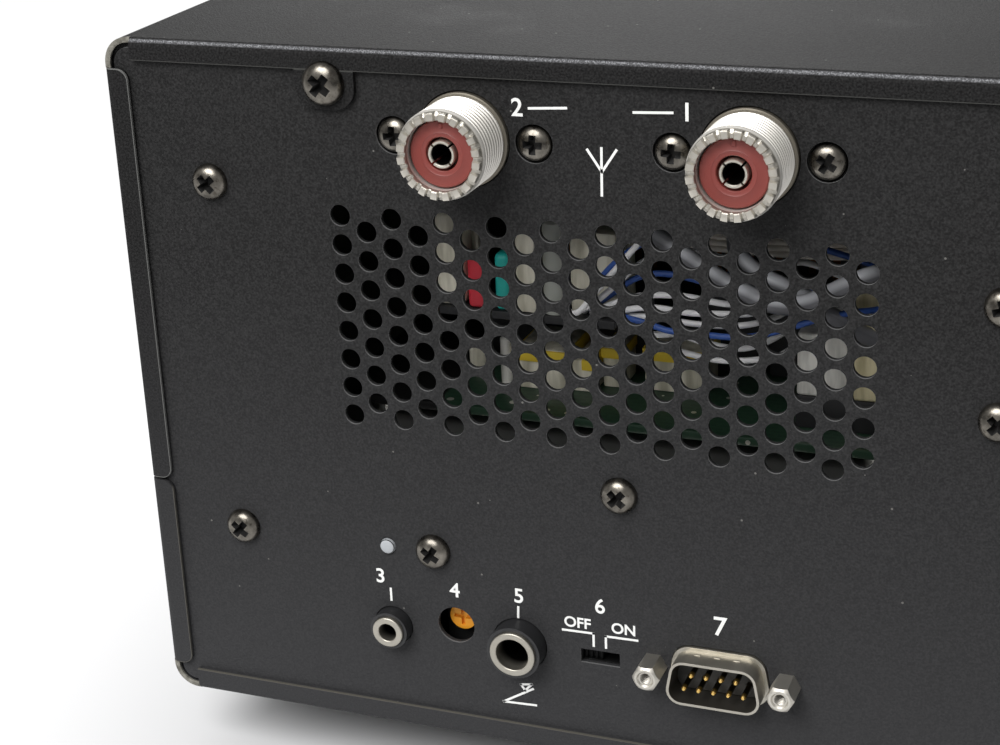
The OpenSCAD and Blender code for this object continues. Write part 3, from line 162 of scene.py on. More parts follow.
def finish(name, recipe, **constants):
    """A material: recipe gives what varies over the surface, constants what doesn't."""
    made = bpy.data.materials.new(name)
    made.use_nodes = True
    shader = made.node_tree.nodes["Principled BSDF"]
    base = Shade(made.node_tree)
    for socket, value in recipe(base).items():
        base.feed(shader.inputs[socket], value)
    for socket, value in constants.items():
        shader.inputs[socket.replace("_", " ")].default_value = value
    return made


half_wide = 0.205
half_deep = 0.155


def round_set(s, reach):
    """0 under the set, rising to 1 at that distance from it."""
    x, y, _ = s.axes()
    beside = s.math("MAXIMUM", abs(x) - half_wide, 0.0)
    behind = s.math("MAXIMUM", abs(y) - half_deep, 0.0)
    return beside.span(behind).band(0.0, reach)


def table_top(s):
    """Pale cloth, with a painted shadow that greys it close to the set. The view sees it whiter; as a source
    of light it fades away.
    """
    mottle = s.noise(9.0, 4.0)
    view = s.node("LightPath")
    far = s.axes()[1].band(0.30, 0.62)
    cloth = mottle.blend((0.74, 0.75, 0.77), (0.80, 0.80, 0.80))
    source = far.blend(cloth, (0.22, 0.22, 0.225))
    # Painted shadow: for the view the cloth is greyer close to the set.
    painted_shadow_view = round_set(s, 0.09).blend((0.62, 0.62, 0.625), (0.95, 0.95, 0.955))
    return {"Base Color": view.blend(source, painted_shadow_view), "Roughness": 0.55 + 0.2 * mottle}


floor_reach = 6.0
clear_reach = 0.26
clear_share = 0.9
floor_mesh = bmesh.new()
bmesh.ops.create_grid(floor_mesh, x_segments=1, y_segments=1, size=floor_reach)
table = bpy.data.meshes.new("table")
floor_mesh.to_mesh(table)
floor_mesh.free()
table.materials.append(finish("table_white", table_top))
tree = table.materials[0].node_tree
seen = Shade(tree).node("LightPath")
glow = Shade(tree).node("Emission", {"Color": (1.0, 1.0, 1.0), "Strength": 1.0})
lit = Shade(tree, tree.nodes["Principled BSDF"].outputs[0])
clear = seen * round_set(seen, clear_reach) * clear_share
mixed = seen.node("MixShader", {0: clear, 1: lit, 2: glow})
mixed.feed(tree.nodes["Material Output"].inputs["Surface"], mixed)
table_piece = bpy.data.objects.new("table", table)
scene.collection.objects.link(table_piece)

room = bpy.data.worlds.new("room")
room.use_nodes = True
scene.world = room
air = Shade(room.node_tree)
straight = air.node("LightPath")
sky = room.node_tree.nodes["Background"]
sky.inputs["Color"].default_value = (1.0, 1.0, 1.0, 1.0)
room_light = 0.36
backdrop = 0.90
air.feed(sky.inputs["Strength"], room_light + (backdrop - room_light) * straight)


def soft_lamp(name, at, target, side, power):
    lamp = bpy.data.lights.new(name, "AREA")
    lamp.shape = "DISK"
    lamp.size = side
    lamp.energy = power
    piece = bpy.data.objects.new(name, lamp)
    scene.collection.objects.link(piece)
    turn = (Vector(target) - Vector(at)).to_track_quat("-Z", "Y").to_matrix().to_4x4()
    piece.matrix_world = Matrix.Translation(at) @ turn


soft_lamp("key_lamp", (0.35, 0.95, 0.95), (0.08, 0.15, 0.06), side=0.9, power=20.0)
soft_lamp("front_lamp", (0.55, -1.25, 0.75), (0.0, -0.1, 0.08), side=0.9, power=11.0)


# Chassis: zinc plated steel sheet, folded into a deck with side rails and a front plate.
# The rear panel, the covers and every board screw to it.
def zinc_sheet(s):
    spangle = s.noise(70.0, 3.0)
    rolled = s.noise(40.0, 2.0, s.stretched(1.0, 30.0, 1.0))
    return {
        "Base Color": spangle.blend((0.50, 0.50, 0.49), (0.66, 0.65, 0.62)),
        "Roughness": 0.28 + 0.2 * spangle,
        "Normal": s.bump(rolled, 0.1, 0.0002),
    }


def dress(node, material, edge, segments=2):
    """Gives a CAD node its finish and breaks its sharp edges."""
    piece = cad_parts[node]
    piece.data.materials.clear()
    piece.data.materials.append(material)
    weld = piece.modifiers.new("joined", "WELD")
    weld.merge_threshold = 1e-6
    rounded = piece.modifiers.new("broken_edges", "BEVEL")
    rounded.width = edge * MM
    rounded.segments = segments
    rounded.profile = 0.5
    rounded.limit_method = "ANGLE"
    rounded.angle_limit = math.radians(40.0)
    rounded.loop_slide = False
    even = piece.modifiers.new("even_shading", "WEIGHTED_NORMAL")
    even.keep_sharp = False


plated_sheet = finish("plated_sheet", zinc_sheet, Metallic=0.9)
dress("chassis", plated_sheet, edge=0.15)


# Rear panel and covers: sheet steel with black satin paint of a fine, dry texture, worn through along
# the free edges of the lips, where their pale lines are partly worn paint and partly painted highlight.
# The paint is paler towards the bottom, a painted bounce of light from the table, and the top fold has a
# painted highlight. The panel is punched; the covers are folded over it and screw to the rails.
# Small webs close the corners behind the panel.
rear = 154.0
near_face = 0.1536
lip_face = 0.1545


def satin_paint(s):
    grain = s.noise(2600.0, 3.0)
    cloud = s.noise(14.0, 3.0)
    dust = s.specks(420.0, 0.09, 0.04)
    rub = s.noise(35.0, 6.0).band(0.62, 0.80)
    # Painted light: the paint turns paler and bluer towards the bottom, as the bounce from the pale table
    # would light it.
    painted_bounce_light = 1.0 - s.axes()[2].band(0.02, 0.11)
    base = cloud.blend((0.0048, 0.0048, 0.0050), (0.0074, 0.0071, 0.0069))
    base = grain.band(0.36, 0.72).blend(base, (0.0230, 0.0226, 0.0226))
    base = (painted_bounce_light * 0.44).blend(base, (0.050, 0.050, 0.053))
    base = (dust * 0.35).blend(base, (0.30, 0.29, 0.27))
    return {
        "Base Color": base,
        "Roughness": 0.64 + 0.10 * cloud - 0.08 * rub,
        "Normal": s.bump(grain, 0.8, 0.00016),
    }


def punched_paint(s):
    """That paint with pale rims round the punched holes: partly rubbed where the punch went in, partly a
    painted highlight on the hole walls.
    """
    made = satin_paint(s)
    facing = s.axes(s.node("NewGeometry", out=3))[1]
    # The pale rims are partly worn paint and partly painted highlight, where light falls on the hole walls.
    rim_wear_and_highlight = (1.0 - facing.band(0.75, 0.95)) * (s.axes()[1] > near_face)
    made["Base Color"] = rim_wear_and_highlight.blend(made["Base Color"], (0.115, 0.115, 0.115))
    return made


def lip_paint(low, high, level, side_edge_wear_and_highlight, level_edge_wear_and_highlight):
    """That paint on a cover whose side lips run from low to high and whose level lip ends at level."""
    inner = 0.2002
    turn = 0.0022
    beyond = inner - 0.0008
    fold_y = 0.1525
    fold_z = 0.1465

    def recipe(s):
        made = satin_paint(s)
        x, y, z = s.axes()
        x = abs(x)
        in_x = s.math("MAXIMUM", inner + turn - x, 0.0)
        in_z = s.math("MAXIMUM", s.math("MAXIMUM", z - (high - turn), low + turn - z), 0.0)
        upright = in_x.span(in_z).band(turn - 0.00018, turn - 0.00008) * (x > inner - 0.0002)
        flat = (abs(z - level) < 0.00014) * (x < beyond)
        lip = y > lip_face
        cut = (x > beyond) * ((z > high) + (z < low)) * (y > near_face)
        # Pale lines along the inner edges of the side and level lips: partly worn paint, partly painted
        # highlight on the edges.
        base = (upright * lip).blend(made["Base Color"], side_edge_wear_and_highlight)
        base = (flat * lip).blend(base, level_edge_wear_and_highlight)
        # Painted highlight: a paler, flecked band along the top fold, where light from above catches the
        # curve.
        slope = s.axes(s.node("NewGeometry", out=1))[2]
        painted_fold_highlight = slope.band(0.48, 0.70) * (1.0 - slope.band(0.78, 0.92)) * (y > fold_y) * (z > fold_z)
        glint = 0.25 + 0.75 * s.noise(4200.0, 2.0).band(0.46, 0.64)
        base = (painted_fold_highlight * glint).blend(base, (0.27, 0.272, 0.285))
        bare = s.noise(900.0, 3.0).band(0.30, 0.70).blend((0.10, 0.095, 0.08), (0.24, 0.23, 0.20))
        made["Base Color"] = cut.blend(base, bare)
        return made
    return recipe


dress("rear_panel", finish("case_paint", punched_paint, Specular_IOR_Level=0.18), edge=0.12)
upper_paint = lip_paint(0.0615, 0.1432, 0.1450, (0.13, 0.13, 0.125), (0.045, 0.045, 0.042))
upper_finish = finish("top_cover_paint", upper_paint, Specular_IOR_Level=0.09)
dress("top_cover", upper_finish, edge=0.1, segments=1)
lower_paint = lip_paint(0.0198, 0.0612, 0.0188, (0.080, 0.076, 0.066), (0.078, 0.073, 0.062))
lower_finish = finish("bottom_cover_paint", lower_paint, Specular_IOR_Level=0.18)
dress("bottom_cover", lower_finish, edge=0.1, segments=1)


FACING = {
    "rear": Matrix.Rotation(math.radians(-90.0), 4, "X"),
    "front": Matrix.Rotation(math.radians(90.0), 4, "X"),
    "up": Matrix.Identity(4),
    "right": Matrix.Rotation(math.radians(90.0), 4, "Y"),
    "left": Matrix.Rotation(math.radians(-90.0), 4, "Y"),
}


def place(mesh_tool, name, material, body="case", *, stands_for=(), sharp=38.0):
    """Turns a mesh in millimetres into a finished piece in metres that rides on a body."""
    bmesh.ops.scale(mesh_tool, vec=(MM, MM, MM), verts=mesh_tool.verts)
    mesh = bpy.data.meshes.new(name)
    mesh_tool.to_mesh(mesh)
    mesh_tool.free()
    mesh.materials.append(material)
    mesh.shade_smooth()
    mesh.set_sharp_from_angle(angle=math.radians(sharp))
    piece = bpy.data.objects.new(name, mesh)
    scene.collection.objects.link(piece)
    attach(piece, body)
    if stands_for:
        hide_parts(*stands_for)
    return piece


def turned(tool, profile, at, facing, steps, closed=False, angle=360.0, spin=0.0):
    """Spins (radius, length) points about an axis through at; lengths run the way it faces."""
    before = set(tool.verts)
    verts = [tool.verts.new((radius, 0.0, length)) for radius, length in profile]
    edges = [tool.edges.new(pair) for pair in zip(verts, verts[1:])]
    full = angle == 360.0
    geom = verts + edges
    if closed:
        edges.append(tool.edges.new((verts[-1], verts[0])))
        geom = verts + edges
        if not full:
            geom = geom + [tool.faces.new(verts)]
    bmesh.ops.spin(
        tool, geom=geom, axis=(0.0, 0.0, 1.0), cent=(0.0, 0.0, 0.0),
        angle=math.radians(angle), steps=steps, use_merge=full, use_duplicate=False,
    )
    bmesh.ops.remove_doubles(tool, verts=[v for v in tool.verts if v not in before], dist=1e-4)
    made = [v for v in tool.verts if v not in before]
    group = set(made)
    bmesh.ops.recalc_face_normals(tool, faces=[f for f in tool.faces if f.verts[0] in group])
    turn = Matrix.Translation(at) @ FACING[facing] @ Matrix.Rotation(math.radians(spin), 4, "Z")
    bmesh.ops.transform(tool, matrix=turn, verts=made)
    return made


web_y = 151.75
web_r = 4.05
web_disc = [(0.0, 0.0), (web_r, 0.0), (web_r, 1.0), (0.0, 1.0)]
tool = bmesh.new()
for x in (200.0, -200.0):
    for z in (144.0, 19.0):
        turned(tool, web_disc, (x, web_y, z), "rear", 40)
place(tool, "corner_webs", finish("web_paint", satin_paint, Specular_IOR_Level=0.3))


# Tuner board: green epoxy board behind the vents with relays, transformers, cans and ring cores soldered
# on it, and a black shelf that carries capacitors. It stands on pillars of the deck.
def slab(tool, low, high, edge, segments=2):
    """A block between two corners, with broken edges."""
    made = bmesh.ops.create_cube(tool, size=1.0)["verts"]
    low = Vector(low)
    high = Vector(high)
    bmesh.ops.scale(tool, vec=high - low, verts=made)
    bmesh.ops.translate(tool, vec=(low + high) / 2.0, verts=made)
    group = set(made)
    edges = [e for e in tool.edges if e.verts[0] in group and e.verts[1] in group]
    bmesh.ops.bevel(
        tool, geom=edges, offset=edge, offset_type="OFFSET", segments=segments, profile=0.5,
        affect="EDGES", material=-1, clamp_overlap=True,
    )


def blocks(name, material, slot, *rows):
    """A piece made of blocks, each row with two corners, an edge and the steps of a rounder edge."""
    tool = bmesh.new()
    for row in rows:
        slab(tool, *row)
    place(tool, name, material)


board_top = 79.1
shelf_top = 98.6


def solder_mask(s):
    tracks = s.node("TexBrick", {"Vector": s.at(), "Scale": 160.0, "Mortar Size": 0.06}, out=1)
    blotch = s.noise(60.0, 3.0)
    base = blotch.blend((0.009, 0.024, 0.014), (0.015, 0.040, 0.023))
    base = (tracks * 0.35).blend(base, (0.030, 0.065, 0.038))
    pads = s.specks(260.0, 0.22, 0.35)
    base = pads.blend(base, (0.62, 0.60, 0.54))
    return {"Base Color": base, "Roughness": 0.30 + 0.15 * blotch, "Metallic": pads * 0.8}


def tuner_mask(s):
    """The same board with a dull black end."""
    made = solder_mask(s)
    end = s.axes()[0] > 0.1475
    made["Base Color"] = end.blend(made["Base Color"], (0.006, 0.006, 0.006))
    made["Metallic"] = made["Metallic"] * (1.0 - end)
    return made


def moulded(dark, light, scale=500.0):
    """A recipe for moulded plastic, from dark to light with a fine skin."""
    def recipe(s):
        skin = s.noise(scale, 3.0)
        wide = s.noise(30.0, 2.0)
        return {
            "Base Color": wide.blend(dark, light),
            "Roughness": 0.38 + 0.2 * skin,
            "Normal": s.bump(skin, 0.15, 0.00008),
        }
    return recipe


def drawn_metal(dark, light, rough):
    """A recipe for plated metal, with uneven tarnish and fine marks."""
    def recipe(s):
        tarnish = s.noise(120.0, 4.0)
        marks = s.noise(1500.0, 2.0)
        return {
            "Base Color": tarnish.blend(dark, light),
            "Roughness": rough + 0.18 * tarnish + 0.06 * marks,
            "Normal": s.bump(marks, 0.08, 0.00005),
        }
    return recipe


def streaked(dark, light):
    """A recipe for a pale case with streaks up and down its sides."""
    def recipe(s):
        streak = s.noise(420.0, 4.0, s.stretched(1.0, 1.0, 0.16))
        return {"Base Color": streak.band(0.34, 0.62).blend(dark, light), "Roughness": 0.30 + 0.3 * streak}
    return recipe


green_board = finish("green_board", solder_mask)
beige_case = finish("beige_case", streaked((0.46, 0.43, 0.33), (0.86, 0.82, 0.69)))
tin_can = finish("tin_can", streaked((0.48, 0.47, 0.43), (0.88, 0.86, 0.80)), Metallic=0.3)
brass_lacquer = finish("brass_lacquer", streaked((0.44, 0.38, 0.21), (0.80, 0.72, 0.47)), Metallic=0.2)
red_film = finish("red_film", moulded((0.55, 0.02, 0.04), (0.68, 0.04, 0.06)))
teal_film = finish("teal_film", moulded((0.01, 0.36, 0.32), (0.02, 0.48, 0.42)))
grey_sleeve = finish("grey_sleeve", moulded((0.30, 0.31, 0.28), (0.40, 0.41, 0.37)))
yellow_tape = finish("yellow_tape", moulded((0.80, 0.56, 0.03), (0.90, 0.68, 0.07)))
copper_wire = finish("copper_wire", drawn_metal((0.45, 0.17, 0.07), (0.62, 0.27, 0.11), 0.3), Metallic=0.7)
grey_core = finish("grey_core", moulded((0.05, 0.05, 0.055), (0.09, 0.09, 0.09)))
black_moulding = finish("black_moulding", moulded((0.010, 0.010, 0.011), (0.016, 0.016, 0.017)))

tool = bmesh.new()
slab(tool, (57.0, 32.8, 77.5), (169.0, 143.8, board_top), 0.1)
tuner_green = finish("tuner_green", tuner_mask)
place(tool, "tuner_board_sheet", tuner_green, stands_for=("tuner_board",))

blocks("relays", black_moulding, "board",
       *(((x - 5.5, 98.8, board_top), (x + 5.5, 114.8, 95.1), 0.6) for x in (139.0, 127.0, 97.0, 85.0)))
blocks("shelf_and_terminals", black_moulding, "black_plastic",
       ((112.0, 117.0, shelf_top - 1.6), (147.4, 143.3, shelf_top), 0.2),
       ((112.0, 117.0, board_top), (147.4, 118.6, shelf_top - 1.6), 0.2),
       ((65.2, 128.0, board_top), (80.4, 136.8, 85.4), 0.3),
       ((59.0, 118.8, board_top), (63.0, 140.8, 105.1), 0.4))

tool = bmesh.new()
slab(tool, (141.1, 137.2, shelf_top), (146.8, 143.0, 116.9), 1.5, 4)
slab(tool, (140.6, 130.5, shelf_top), (143.3, 136.0, 112.1), 0.5)
slab(tool, (127.0, 135.0, shelf_top), (131.0, 143.0, 114.7), 0.6)
slab(tool, (112.6, 128.0, shelf_top), (121.4, 140.0, 114.0), 0.6)
slab(tool, (125.2, 119.6, board_top), (135.3, 132.6, 87.5), 0.6)
slab(tool, (120.1, 119.6, board_top), (124.7, 131.5, 85.5), 0.5)
slab(tool, (115.5, 119.6, board_top), (119.6, 128.0, 87.3), 0.5)
slab(tool, (99.7, 117.5, board_top), (111.5, 127.5, 88.0), 0.6)
bobbin = [(0.0, 0.0), (2.25, 0.0), (2.25, 5.0), (1.9, 5.4), (0.0, 5.4)]
turned(tool, bobbin, (145.9, 124.6, board_top), "up", 32)
place(tool, "cases_and_bobbins", beige_case)

blocks("transformer_tape", yellow_tape, "board",
       ((124.9, 119.4, 84.8), (135.6, 132.9, 87.2), 0.2),
       ((119.9, 119.4, 83.6), (122.6, 131.8, 85.7), 0.2),
       ((115.3, 119.4, 85.1), (119.8, 128.3, 87.1), 0.2),
       ((99.4, 117.3, 85.3), (111.8, 127.8, 87.8), 0.2))

tool = bmesh.new()
slab(tool, (71.0, 128.0, 85.4), (80.2, 137.0, 97.5), 0.6, 3)
small_can = [(0.0, 0.0), (1.3, 0.0), (1.3, 9.6), (0.9, 10.0), (0.0, 10.0)]
turned(tool, small_can, (137.5, 131.7, board_top), "up", 24)
place(tool, "filter_cans", tin_can)

blocks("brass_can", brass_lacquer, "control_metal", ((65.4, 128.0, 85.4), (70.6, 137.0, 107.3), 0.6, 3))
blocks("red_capacitor", red_film, "board", ((137.1, 139.0, shelf_top), (140.4, 143.0, 108.7), 0.9, 3))
blocks("teal_capacitor", teal_film, "board", ((132.1, 139.0, shelf_top), (135.0, 143.0, 109.5), 0.9, 3))
tool = bmesh.new()
sleeve = [(0.0, 0.0), (2.2, 0.0), (2.2, 17.2), (1.8, 17.7), (0.0, 17.7)]
turned(tool, sleeve, (123.9, 140.7, shelf_top), "up", 32)
place(tool, "sleeved_capacitor", grey_sleeve)

# middle x and y, outer and inner radius, height
CORES = ((95.0, 68.8, 17.0, 7.0, 30.0), (143.0, 62.8, 13.0, 6.0, 26.0), (71.0, 92.8, 13.0, 6.0, 26.0))
tool = bmesh.new()
for x, y, outer, inner, high in CORES:
    ring = [(inner, 0.0), (outer, 0.0), (outer, high), (inner, high)]
    turned(tool, ring, (x, y, board_top), "up", 40, True)
place(tool, "ring_cores", grey_core)

windings = 14
winding_turn = 22.0
wire_wide = 1.3
wire_high = 0.7
wire_over = 1.6
tool = bmesh.new()
for x, y, outer, inner, high in CORES:
    for i in range(windings):
        made = bmesh.ops.create_cube(tool, size=1.0)["verts"]
        bmesh.ops.scale(tool, vec=(outer - inner + wire_over, wire_wide, high + wire_high), verts=made)
        bmesh.ops.translate(tool, vec=((outer + inner) / 2.0, 0.0, (high + wire_high) / 2.0), verts=made)
        turn = Matrix.Rotation(math.radians(i * winding_turn), 4, "Z")
        spot = Matrix.Translation((x, y, board_top)) @ turn
        bmesh.ops.transform(tool, matrix=spot, verts=made)
place(tool, "core_windings", copper_wire)


# Wire loom: soft white, blue and tan wires from the shelf of the tuner to its terminal block, and a
# grey coaxial lead from each antenna socket. All are soldered at their ends.
def add_curve(tool, curve):
    """Adds the mesh of a curve, uses the curve up, and gives the new corners."""
    holder = bpy.data.objects.new(curve.name, curve)
    scene.collection.objects.link(holder)
    made = bpy.data.meshes.new_from_object(holder.evaluated_get(bpy.context.evaluated_depsgraph_get()))
    before = set(tool.verts)
    tool.from_mesh(made)
    bpy.data.objects.remove(holder)
    bpy.data.curves.remove(curve)
    bpy.data.meshes.remove(made)
    return [v for v in tool.verts if v not in before]


def strand(tool, points, radius):
    """A round wire along a smooth curve through points."""
    path = bpy.data.curves.new("strand", "CURVE")
    path.dimensions = "3D"
    path.bevel_depth = radius
    path.bevel_resolution = 5
    path.resolution_u = 6
    path.use_fill_caps = True
    line = path.splines.new("NURBS")
    line.points.add(len(points) - 1)
    for point, at in zip(line.points, points):
        point.co = (*at, 1.0)
    line.order_u = 4
    line.use_endpoint_u = True
    add_curve(tool, path)


def jacket_with_painted_highlight(s):
    """Grey jacket with a painted highlight: paler along the side that faces up and back, where the light
    falls.
    """
    worn = s.noise(220.0, 3.0)
    normal = s.node("NewGeometry", out=1)
    facing = s.node("VectorMath", {0: normal, 1: (0.0, 0.62, 0.78)}, out=1, operation="DOT_PRODUCT")
    base = worn.blend((0.13, 0.13, 0.14), (0.20, 0.20, 0.215))
    # Painted highlight along the side that faces up and back.
    base = facing.band(0.62, 1.0).blend(base, (0.62, 0.63, 0.66))
    return {"Base Color": base, "Roughness": 0.30 + 0.2 * worn}


white_wire = finish("white_wire", moulded((0.84, 0.83, 0.84), (0.92, 0.91, 0.91)))
blue_wire = finish("blue_wire", moulded((0.025, 0.075, 0.30), (0.04, 0.11, 0.40)))
tan_wire = finish("tan_wire", moulded((0.56, 0.52, 0.46), (0.74, 0.69, 0.62)))
grey_lead = finish("grey_lead", jacket_with_painted_highlight)


def tail(x, z, y, high, low):
    """The last stretch of a route, past the cans and into the terminal block."""
    return (x, 135, z), (82.4, 127, z), (76, y, high), (68, y, low), (62, y, low)


WHITE = (
    ((118.7, 139.8, 98.9), (118.7, 142, 99.6), (114.9, 142, 102.2), (110.7, 141, 106.7),
     (106.4, 140, 110.5), (101.1, 140, 112.6), (91.7, 140, 111), *tail(84, 107.9, 125.8, 105, 102)),
    ((117.2, 139.8, 98.9), (117.2, 142, 99.4), (113, 142, 101.4), (108.3, 142, 103.6),
     (103.9, 142, 104.1), (98.2, 142, 104.4), (91.2, 142, 102.9), *tail(83.9, 102, 124.55, 100.8, 99.6)),
    ((116.1, 139.8, 98.9), (116.1, 142, 99.2), (112.6, 142, 99.9), (107.8, 142, 101.4),
     (103.3, 142, 101.7), (98.2, 142, 100.9), (93.1, 142, 101.6), (87.8, 142, 101.6),
     *tail(83.8, 101.3, 123.3, 99.2, 97)),
    ((114.6, 139.8, 99.2), (113.4, 141.4, 99.3), (111.3, 141, 98.8), (107.1, 141, 99.5),
     (103.7, 141, 99.3), (98.4, 141, 98.7), (93, 141, 98.8), (88, 141, 99.3),
     *tail(83.7, 99.3, 122.05, 96.9, 94.5)),
    ((121.2, 141, 98.9), (121.3, 145, 99.6), (118.2, 145, 100.1), (116.9, 145, 101.9),
     (114.6, 145, 105.1), (111, 145, 109.2), (107.4, 145, 113.6), (104.1, 144, 117.6),
     (98.8, 141, 122.9), (88, 136, 131), (85.4, 134.4, 133.4)),
    ((113.4, 139.8, 99), (110.5, 140, 96.4), (106.4, 140, 94.9), (101.1, 140, 96.6),
     (98.7, 140, 95.4), (93.4, 140, 94.5), (88.3, 140, 94.2), *tail(83.5, 95.7, 119.55, 93.6, 91.5)),
    ((107, 126, 87.6), (106, 133, 90.5), (100.6, 138, 92), (94, 139, 91),
     (86, 139, 92.4), *tail(83.4, 91.6, 119.5, 90, 88.5)),
)
BLUE = (
    ((117, 139.8, 101), (117, 144, 102.6), (114.8, 144, 106.2), (112, 144, 109.6),
     (107.9, 144, 113.3), (104.9, 144, 114.8), (99.5, 142, 116.9), (89.6, 140, 118.4),
     (76, 138, 113.6), (70, 137, 112), (65, 134.5, 109.6), (62.2, 133, 104.4)),
    ((117.9, 139.6, 99.1), (116.2, 140.6, 100.7), (112.8, 140, 103.1), (110, 140, 105.6),
     (105.6, 139, 107.5), (97.2, 139, 106.5), (86.7, 139, 102.8), (84.4, 137, 102.6),
     (82.4, 129, 102.2), (78, 127.2, 101.8), (68, 127, 101), (62, 127, 100.6)),
    ((112.8, 139.8, 99.2), (110, 143, 99.4), (107.5, 143, 99.3), (103.6, 143, 98.1),
     (101.4, 143, 97.6), (94.4, 143, 97.7), (89.9, 143, 97.6), (85.7, 143, 98.3),
     (78.3, 143, 101.1), (71.7, 142, 103.9), (62, 135, 103)),
)
TAN = tuple(
    ((113.6, 131, z), (108, 131, z + 0.4), (96, 131.2, z + 0.2), (84, 130.8, z - 0.2),
     (74, 131, z + 0.3), (67.5, 129.5, z + 0.5), (62.5, y + 0.5, z + 0.2),
     (61.4, y, 108), (61.2, y, 104.9))
    for y, z in ((121, 109.6), (122.25, 110.75), (123.5, 111.9), (124.75, 113.05))
)
LEADS = (
    ((135.2, 134.2, 133.8), (134.6, 128, 133), (126, 132, 128), (117.9, 140, 122.5),
     (108.9, 145, 119.5), (104.3, 146, 117), (96.9, 146, 112.4), (92, 146, 109.4),
     (86.8, 146, 106.9), (81.7, 146, 105.3), (76.5, 146, 106), (71.6, 146, 109.1),
     (66.4, 146, 112.3), (61.7, 143, 112.6), (60.9, 135, 110), (60.9, 132, 104.8)),
    ((84.8, 134.2, 133.8), (85.4, 127, 131), (90, 132, 120), (91.7, 140, 114.2),
     (87.9, 142, 110.2), (82.4, 143, 108.3), (77.1, 143, 106.2), (72.7, 141, 102),
     (67, 137, 97), (62.4, 133, 95)),
)
# name, material, routes, radius, node that it stands for
LOOM = (
    ("white_wires", white_wire, WHITE, 0.58, ("wire_harness",)),
    ("blue_wires", blue_wire, BLUE, 0.58, ()),
    ("tan_wires", tan_wire, TAN, 0.6, ()),
    ("antenna_leads", grey_lead, LEADS, 1.7, ()),
)
for name, colour, routes, gauge, stands in LOOM:
    tool = bmesh.new()
    for route in routes:
        strand(tool, route, gauge)
    place(tool, name, colour, stands_for=stands, sharp=60.0)


# Antenna sockets: turned brass shells with nickel plate, a fine outer thread and a scalloped front
# edge, on a square flange behind the panel. A brown moulding holds the slit centre contact.
socket_z = 133.8
socket_x = 110.0
socket_apart = 25.2
socket_xs = (socket_x + socket_apart, socket_x - socket_apart)
notches = 20
notch_foot = rear + 10.5
notch_deep = 0.55
notch_in = 0.45


def from_axes(s, middle, apart, height):
    """Distance from the nearer of two level axes, which lie apart to each side of the middle."""
    x, _, z = s.axes()
    return (abs(x - middle * MM) - apart * MM).span(z - height * MM)


def threaded(low, high, crest, root, turns):
    """(radius, length) points of a thread, drawn as rings."""
    pitch = (high - low) / turns
    points = []
    for i in range(turns):
        foot = low + i * pitch
        points += [(root, foot + 0.06 * pitch), (crest, foot + 0.40 * pitch),
                   (crest, foot + 0.60 * pitch), (root, foot + 0.94 * pitch)]
    return points


def thread_nickel(s):
    """Nickel plate with painted shade in the roots of the two threads, in the notches and on the collars,
    and a front edge that is darker with painted shade and smoother.
    """
    made = drawn_metal((0.72, 0.69, 0.63), (0.92, 0.89, 0.84), 0.40)(s)
    thread_foot = 0.1548
    thread_end = 0.1633
    tooth_foot = 0.1643
    y = s.axes()[1]
    radius = from_axes(s, socket_x, socket_apart, socket_z)
    thread = (y > thread_foot) * (y < thread_end) * (radius > 0.0072)
    # Painted shade: darker in the roots of the thread, in the notch valleys and on the collar behind the
    # thread.
    grime_and_shade = (1.0 - radius.band(0.00760, 0.00785)) * thread
    painted_notch_shade = (1.0 - y.band(0.1645, 0.1651)) * (y > tooth_foot) * (radius > 0.0061)
    collar = (y < 0.1549) * (radius > 0.0078)
    base = grime_and_shade.blend(made["Base Color"], (0.21, 0.19, 0.16))
    # Painted shade: the front edge is darker than the sides; it is also smoother.
    edge = y > 0.1641
    base = (edge * 0.75).blend(base, (0.44, 0.41, 0.35))
    base = (painted_notch_shade * 0.5).blend(base, (0.19, 0.18, 0.155))
    made["Roughness"] = made["Roughness"] - 0.18 * edge
    made["Base Color"] = collar.blend(base, (0.20, 0.18, 0.145))
    return made


def contact_nickel(s):
    """Nickel plate, with painted shade inside the slit contacts."""
    made = drawn_metal((0.50, 0.47, 0.40), (0.72, 0.69, 0.61), 0.30)(s)
    # Painted shade down the bore of each contact.
    painted_bore_shade = (from_axes(s, socket_x, socket_apart, socket_z) < 0.00192) * (s.axes()[1] < 0.1633)
    made["Base Color"] = painted_bore_shade.blend(made["Base Color"], (0.030, 0.027, 0.023))
    return made


nickel = finish("nickel", drawn_metal((0.56, 0.52, 0.44), (0.78, 0.74, 0.66), 0.30), Metallic=1.0)
shell_nickel = finish("shell_nickel", thread_nickel, Metallic=0.8)
brown_moulding = finish("brown_moulding", moulded((0.150, 0.025, 0.019), (0.205, 0.038, 0.030), 900.0))
contact_metal = finish("contact_nickel", contact_nickel, Metallic=1.0)
# Near-black metal for the flanges.
near_black_metal = drawn_metal((0.020, 0.019, 0.018), (0.034, 0.032, 0.030), 0.45)
flange_black = finish("flange_black", near_black_metal, Metallic=0.6)

